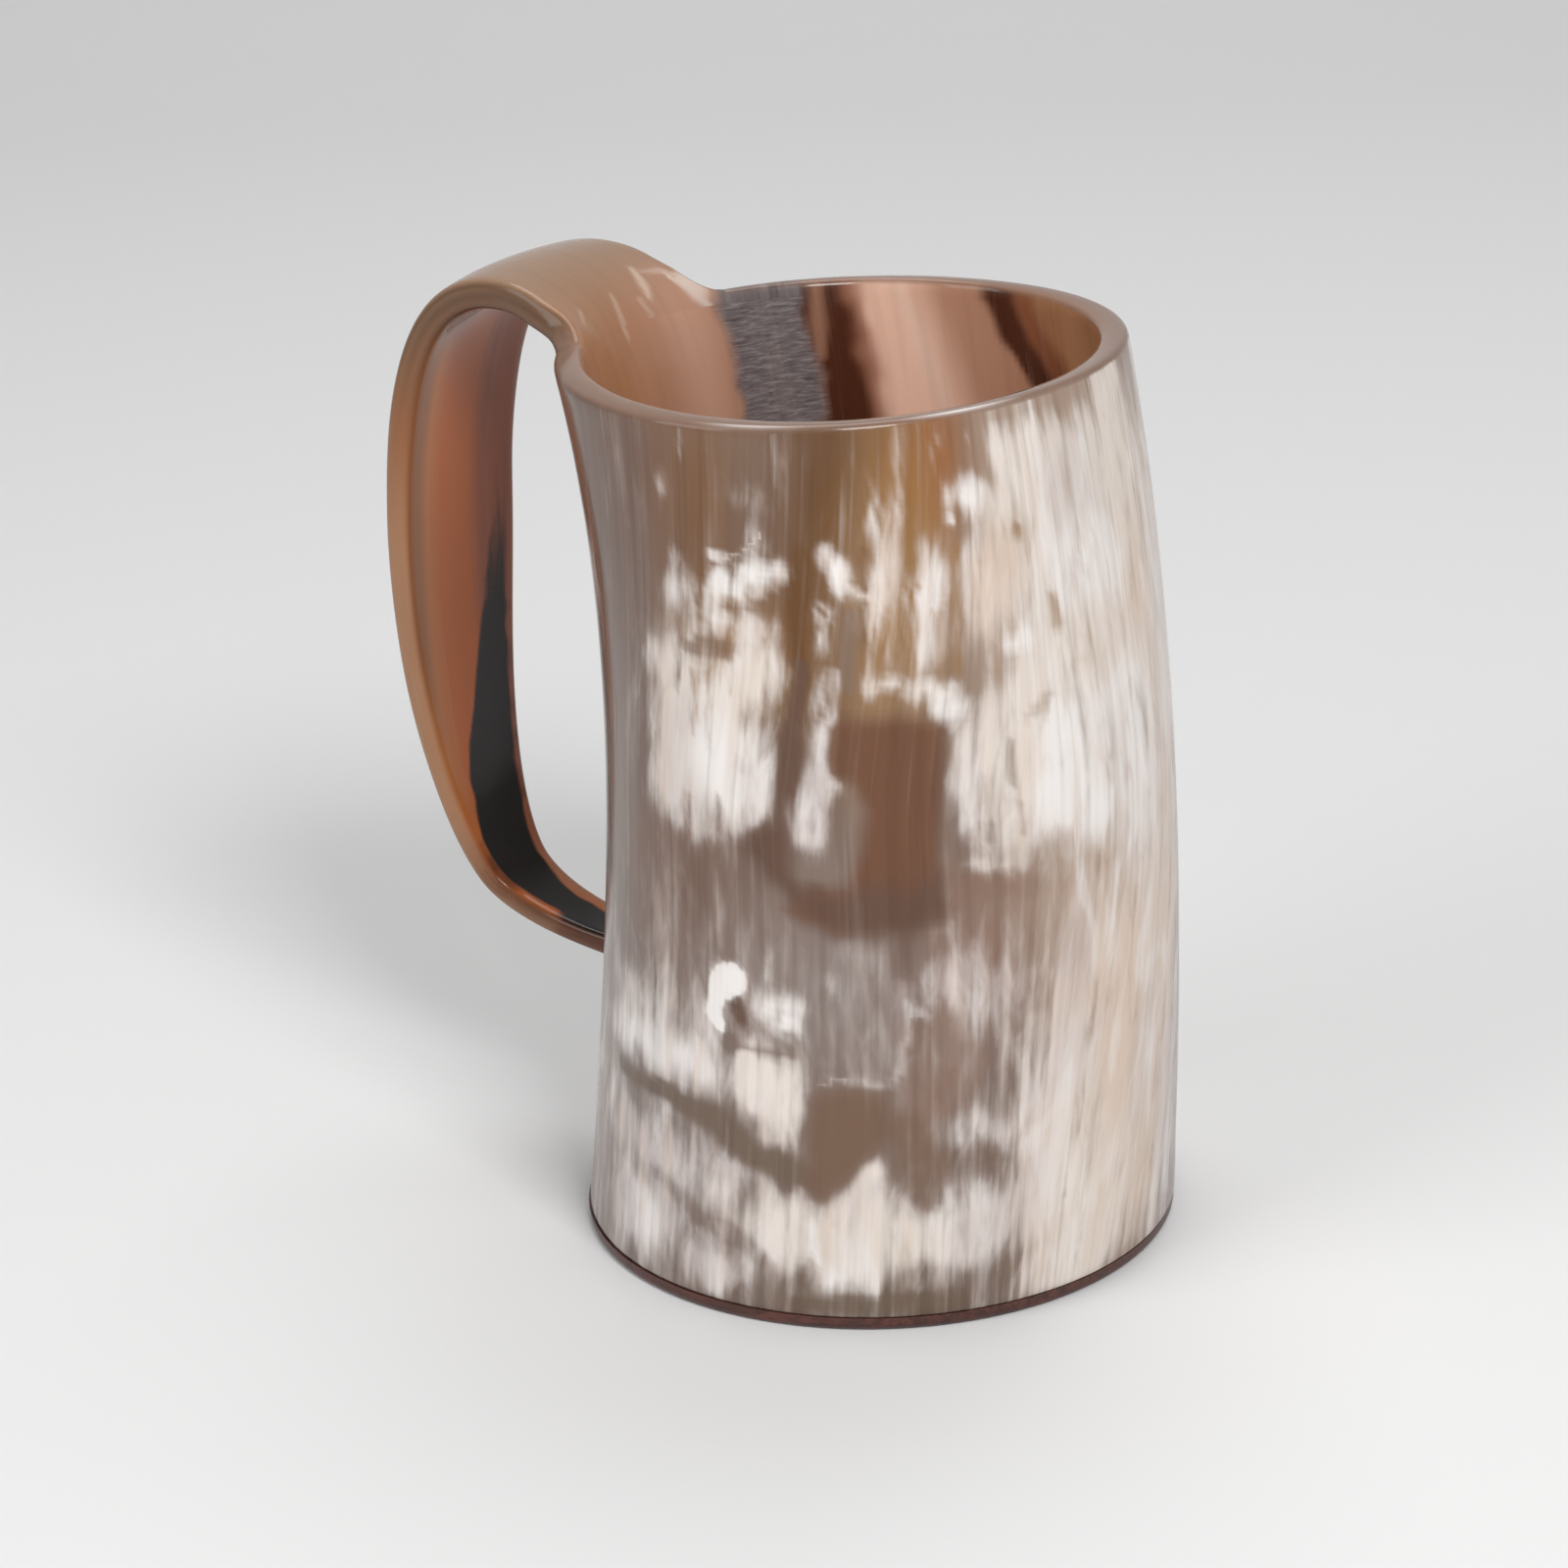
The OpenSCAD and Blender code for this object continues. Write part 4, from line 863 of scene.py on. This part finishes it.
def horn_material():
    n = Nodes("polished_horn")
    grain = n.attr("grain")
    under, over = n.attr("under", "Color"), n.attr("over", "Color")
    pale, clear, dark = n.put("SeparateColor", Color=n.attr("marks", "Color")).outputs
    scratch = n.attr("scratch", "Fac")
    lively = n.ramp(n.attr("calm", "Fac"), 0, 1, 1, 0.1, kind="LINEAR")
    wide, long, fine, cloud, wisp = [n.noise(n.stretched(grain, (1, 1, squeeze)), size, detail, 0.5, warp)
                                     for squeeze, size, detail, warp in NOISES]

    def lay(base, share, colour, how="MIX"):
        return n.mixed(n.times(share, lively), base, colour, how)

    # pale keratin, feathered along the fibres and broken up by clouds and wisps
    loose = n.total((wide, 0.8), (long, 0.35), (fine, 0.15), (cloud, 1.1), (wisp, 0.9))
    field = n.plus(pale, n.times(loose, n.ramp(pale, 0, 0.4, 0.35, 1)))
    lines = n.ramp(n.plus(n.attr("lines", "Fac"), n.total((fine, 0.35), (wisp, 0.35))), 0.3, 0.8)
    white = n.maths("MAXIMUM", n.ramp(field, 0.02, 1), lines)
    faint = n.maths("SUBTRACT", 1, n.times(clear, 0.6))
    patchy = n.ramp(cloud, 0.35, 0.65, 0.15, 1)
    under = lay(under, n.ramp(wide, 0.32, 0.55, 0.25, 0), FIBRE_SHADE, "MULTIPLY")
    under = lay(under, n.times(n.ramp(long, 0.5, 0.74, 0, 0.3), n.times(faint, patchy)), rgba("shade"))
    over = n.mixed(n.times(n.ramp(long, 0.3, 0.56, 0.36, 0), patchy), over, rgba("shade"))
    over = n.mixed(n.ramp(wide, 0.5, 0.72, 0, 0.4), over, rgba("peach"))
    over = n.mixed(n.ramp(cloud, 0.5, 0.7, 0, 0.45), over, rgba("white"))
    base = n.mixed(white, under, over)
    sharp = n.ramp(n.plus(clear, n.total((fine, 0.2), (wisp, 0.4), (wide, 0.3))), 0.22, 0.78)
    base = n.mixed(n.times(sharp, 0.93), base, under)
    # dark bands with a rust border
    ragged = n.plus(dark, n.times(n.total((fine, 0.3), (wisp, 0.25)), n.ramp(dark, 0, 0.2)))
    base = n.mixed(n.ramp(ragged, 0.04, 0.45, 0, 0.6), base, rgba("sienna"))
    base = n.mixed(n.ramp(ragged, 0.1, 0.75), base, rgba("black"))
    # short scratches across the slate band
    cuts = n.noise(n.stretched(grain, (0.22, 0.22, 1.5)), 1.5, 3, 0.65, 0.5)
    base = n.mixed(n.times(n.ramp(cuts, 0.46, 0.68), n.times(scratch, 0.6)), base, CUT_PALE)
    base = n.mixed(n.times(n.ramp(cuts, 0.3, 0.46, 1, 0), n.times(scratch, 0.5)), base, CUT_DARK)
    worn = n.times(n.ramp(fine, 0.25, 0.75, 0, 0.12), lively)
    fibres = n.bump(n.times(n.total((wide, 0.7), (fine, 0.3)), lively), FIBRE_DEPTH, 0.5)
    n.set(Base_Color=base, IOR=1.5, Specular_IOR_Level=0.2, Coat_Weight=0.15, Coat_Roughness=0.06,
          Subsurface_Weight=0.05, Subsurface_Radius=(1, 0.6, 0.4), Subsurface_Scale=0.002,
          Roughness=n.plus(n.plus(worn, 0.15), n.times(scratch, 0.2)),
          Normal=n.bump(n.times(cuts, scratch), CUT_DEPTH, 0.7, fibres))
    return n.mat


def place_in_mm(n):
    return n.stretched(n.put("TexCoord").outputs["Object"], (1000, 1000, 1000))


def wood_material(name, light, dark, grain_scale):
    """Fine straight grain along X, with pores and an oiled surface."""
    n = Nodes(name)
    at = place_in_mm(n)
    grain = n.noise(n.stretched(at, (0.06, 1, 1)), grain_scale, 5, 0.6, 0.3)
    pores = n.noise(n.stretched(at, (0.12, 1, 1)), 4 * grain_scale, 2, 0.5)
    base = n.mixed(n.ramp(grain, 0.32, 0.68), dark, light)
    base = n.mixed(n.ramp(pores, 0.56, 0.66, 0.0, 0.6), base, tuple(0.45 * c for c in dark[:3]) + (1,))
    n.set(Base_Color=base, IOR=1.45, Coat_Weight=0.15, Coat_Roughness=0.2,
          Roughness=n.ramp(grain, 0.3, 0.7, 0.36, 0.5),
          Normal=n.bump(n.total((grain, 0.5), (pores, -0.5)), WOOD_DEPTH, 0.4))
    return n.mat


def resin_material(name, light, dark):
    """Amber resin, a little cloudy, with small bubbles and a fluid surface."""
    n = Nodes(name)
    at = place_in_mm(n)
    cloudy = n.noise(at, 0.12, 4, 0.55, 0.8)
    bubbles = n.noise(at, 1.6, 2, 0.5)
    base = n.mixed(n.ramp(cloudy, 0.35, 0.65), dark, light)
    base = n.mixed(n.ramp(bubbles, 0.68, 0.74, 0.0, 0.5), base, rgba("cream"))
    n.set(Base_Color=base, IOR=1.52, Coat_Weight=0.6, Coat_Roughness=0.05, Subsurface_Weight=0.1,
          Subsurface_Radius=(1.0, 0.6, 0.3), Subsurface_Scale=0.002,
          Roughness=n.ramp(cloudy, 0.3, 0.7, 0.08, 0.2), Normal=n.bump(cloudy, RESIN_DEPTH, 0.35))
    return n.mat


def finish_node(node, material):
    """Gives a carried-over solid its finish."""
    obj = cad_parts[node]
    for slot in obj.material_slots:
        slot.material = material
    if not obj.material_slots:
        obj.data.materials.append(material)


def set_attribute(mesh, name, kind, values):
    attr = mesh.attributes.new(name, kind, "POINT")
    attr.data.foreach_set(FIELDS[kind], np.asarray(values, np.float32).ravel())


def dress_horn():
    horn = new_mesh("horn_cup", points * MM, quads)
    under, over, marks = colour_horn(facts)
    a, z, side = facts.T
    turned = np.radians(fibre(a, z))
    radius = GRAIN_R + GRAIN_OUT * side
    one = np.ones((len(a), 1))
    set_attribute(horn.data, "grain", "FLOAT_VECTOR",
                  np.stack([radius * np.cos(turned), radius * np.sin(turned), z], -1))
    for name, colour in (("under", under), ("over", over), ("marks", marks[:, :3])):
        set_attribute(horn.data, name, "FLOAT_COLOR", np.hstack([colour, one]))
    for k, name in enumerate(("scratch", "calm", "lines"), 3):
        set_attribute(horn.data, name, "FLOAT", marks[:, k])
    horn.data.materials.append(horn_material())
    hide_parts("horn_body")
    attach(horn, "root")


dress_horn()
finish_node("base_disc", wood_material("bottom_wood", rgba("disc"), rgba("disc_dark"), 0.7))
finish_node("base_seal", resin_material("clear_resin", rgba("resin"), rgba("resin_dark")))
finish_node("handle_bond", resin_material("resin_pad", rgba("resin"), rgba("resin_dark")))
finish_node("handle_pin", wood_material("pin_wood", rgba("umber"), rgba("bark"), 1.6))

# ---------------- stage, lights and camera
FLOOR_HALF, BEND_R, BACK_Y, BACK_H, BEND_STEPS, FLOOR_TONE = 3.0, 0.8, 1.6, 3.0, 16, 0.76
# The photograph's view, found by fitting the model's outline to it: degrees, metres and pixels
CAM_AZ, CAM_EL, CAM_ROLL = 32.0, 20.964, -2.198
CAM_DIST, CAM_LOOK_Z, CAM_ASIDE, CAM_ABOVE = 0.71211, 0.070, -0.013123, 0.001295
CAM_FOCAL_PX, PHOTO_PX, SENSOR, CAM_FAR = 4664.0, 1600, 36, 50
# Lights: name, degrees to the right of the camera, degrees up, distance, size and power
LIGHTS = (("key", 22, 42, 1.3, 0.42, 10.5), ("fill", -58, 28, 1.4, 0.8, 6.5), ("top", 170, 65, 1.4, 0.8, 6.5))
WORLD_LIGHT = 0.3


def direction(az, el):
    """From the cup toward a place that lies so many degrees round from its front and up."""
    a, e = radians(az), radians(el)
    return Vector((sin(a) * cos(e), -cos(a) * cos(e), sin(e)))


def build_stage():
    """A pale floor that runs up into a backdrop behind the cup, as seen by the camera."""
    line = [(-FLOOR_HALF, 0.0), (BACK_Y - BEND_R, 0.0)]
    line += [(BACK_Y - BEND_R + BEND_R * sin(t), BEND_R * (1 - cos(t)))
             for t in np.linspace(0, pi / 2, BEND_STEPS + 1)[1:]]
    line += [(BACK_Y, BACK_H)]
    az = radians(CAM_AZ)
    ahead, right = Vector((-sin(az), cos(az), 0)), Vector((cos(az), sin(az), 0))
    verts = [ahead * d + right * (side * FLOOR_HALF) + Vector((0, 0, h)) for d, h in line for side in (-1, 1)]
    faces = [(2 * k, 2 * k + 1, 2 * k + 3, 2 * k + 2) for k in range(len(line) - 1)]
    floor = new_mesh("studio_floor", verts, faces)
    paper = Nodes("studio_paper")
    paper.set(Base_Color=(FLOOR_TONE, FLOOR_TONE, FLOOR_TONE, 1), Roughness=0.9, Specular_IOR_Level=0.1)
    floor.data.materials.append(paper.mat)


def add_camera():
    """The photograph's view: turned, raised and rolled a little, aimed beside the cup's middle."""
    az, roll = radians(CAM_AZ), radians(CAM_ROLL)
    back = direction(CAM_AZ, CAM_EL)
    right = Vector((cos(az), sin(az), 0))
    up = back.cross(right)
    centre = Vector((0, 0, CAM_LOOK_Z))
    at = centre + back * CAM_DIST
    aim = centre + right * CAM_ASIDE + up * CAM_ABOVE
    ahead = (aim - at).normalized()
    r0 = ahead.cross(Vector((0, 0, 1))).normalized()
    u0 = r0.cross(ahead)
    r2 = r0 * cos(roll) + u0 * sin(roll)
    u2 = -r0 * sin(roll) + u0 * cos(roll)
    cam = bpy.data.cameras.new("photo_camera")
    cam.sensor_width = SENSOR
    cam.lens = CAM_FOCAL_PX / PHOTO_PX * SENSOR
    cam.clip_end = CAM_FAR
    obj = link("photo_camera", cam)
    view = Matrix((r2, u2, -ahead)).transposed().to_4x4()
    view.translation = at
    obj.matrix_world = view
    bpy.context.scene.camera = obj


def add_light(name, az, el, dist, size, power):
    """A square area light aimed at the cup's middle."""
    place = direction(CAM_AZ + az, el) * dist
    lamp = bpy.data.lights.new(name, "AREA")
    lamp.size = size
    lamp.energy = power
    obj = link(name, lamp)
    obj.location = place + Vector((0, 0, CAM_LOOK_Z))
    obj.rotation_euler = (-place).to_track_quat("-Z", "Y").to_euler()


build_stage()
add_camera()
for light in LIGHTS:
    add_light(*light)

world = bpy.data.worlds.new("studio")
bpy.context.scene.world = world
world.use_nodes = True
sky = world.node_tree.nodes["Background"].inputs
sky["Color"].default_value = (1, 1, 1, 1)
sky["Strength"].default_value = WORLD_LIGHT

bpy.context.scene.view_settings.view_transform = "Standard"
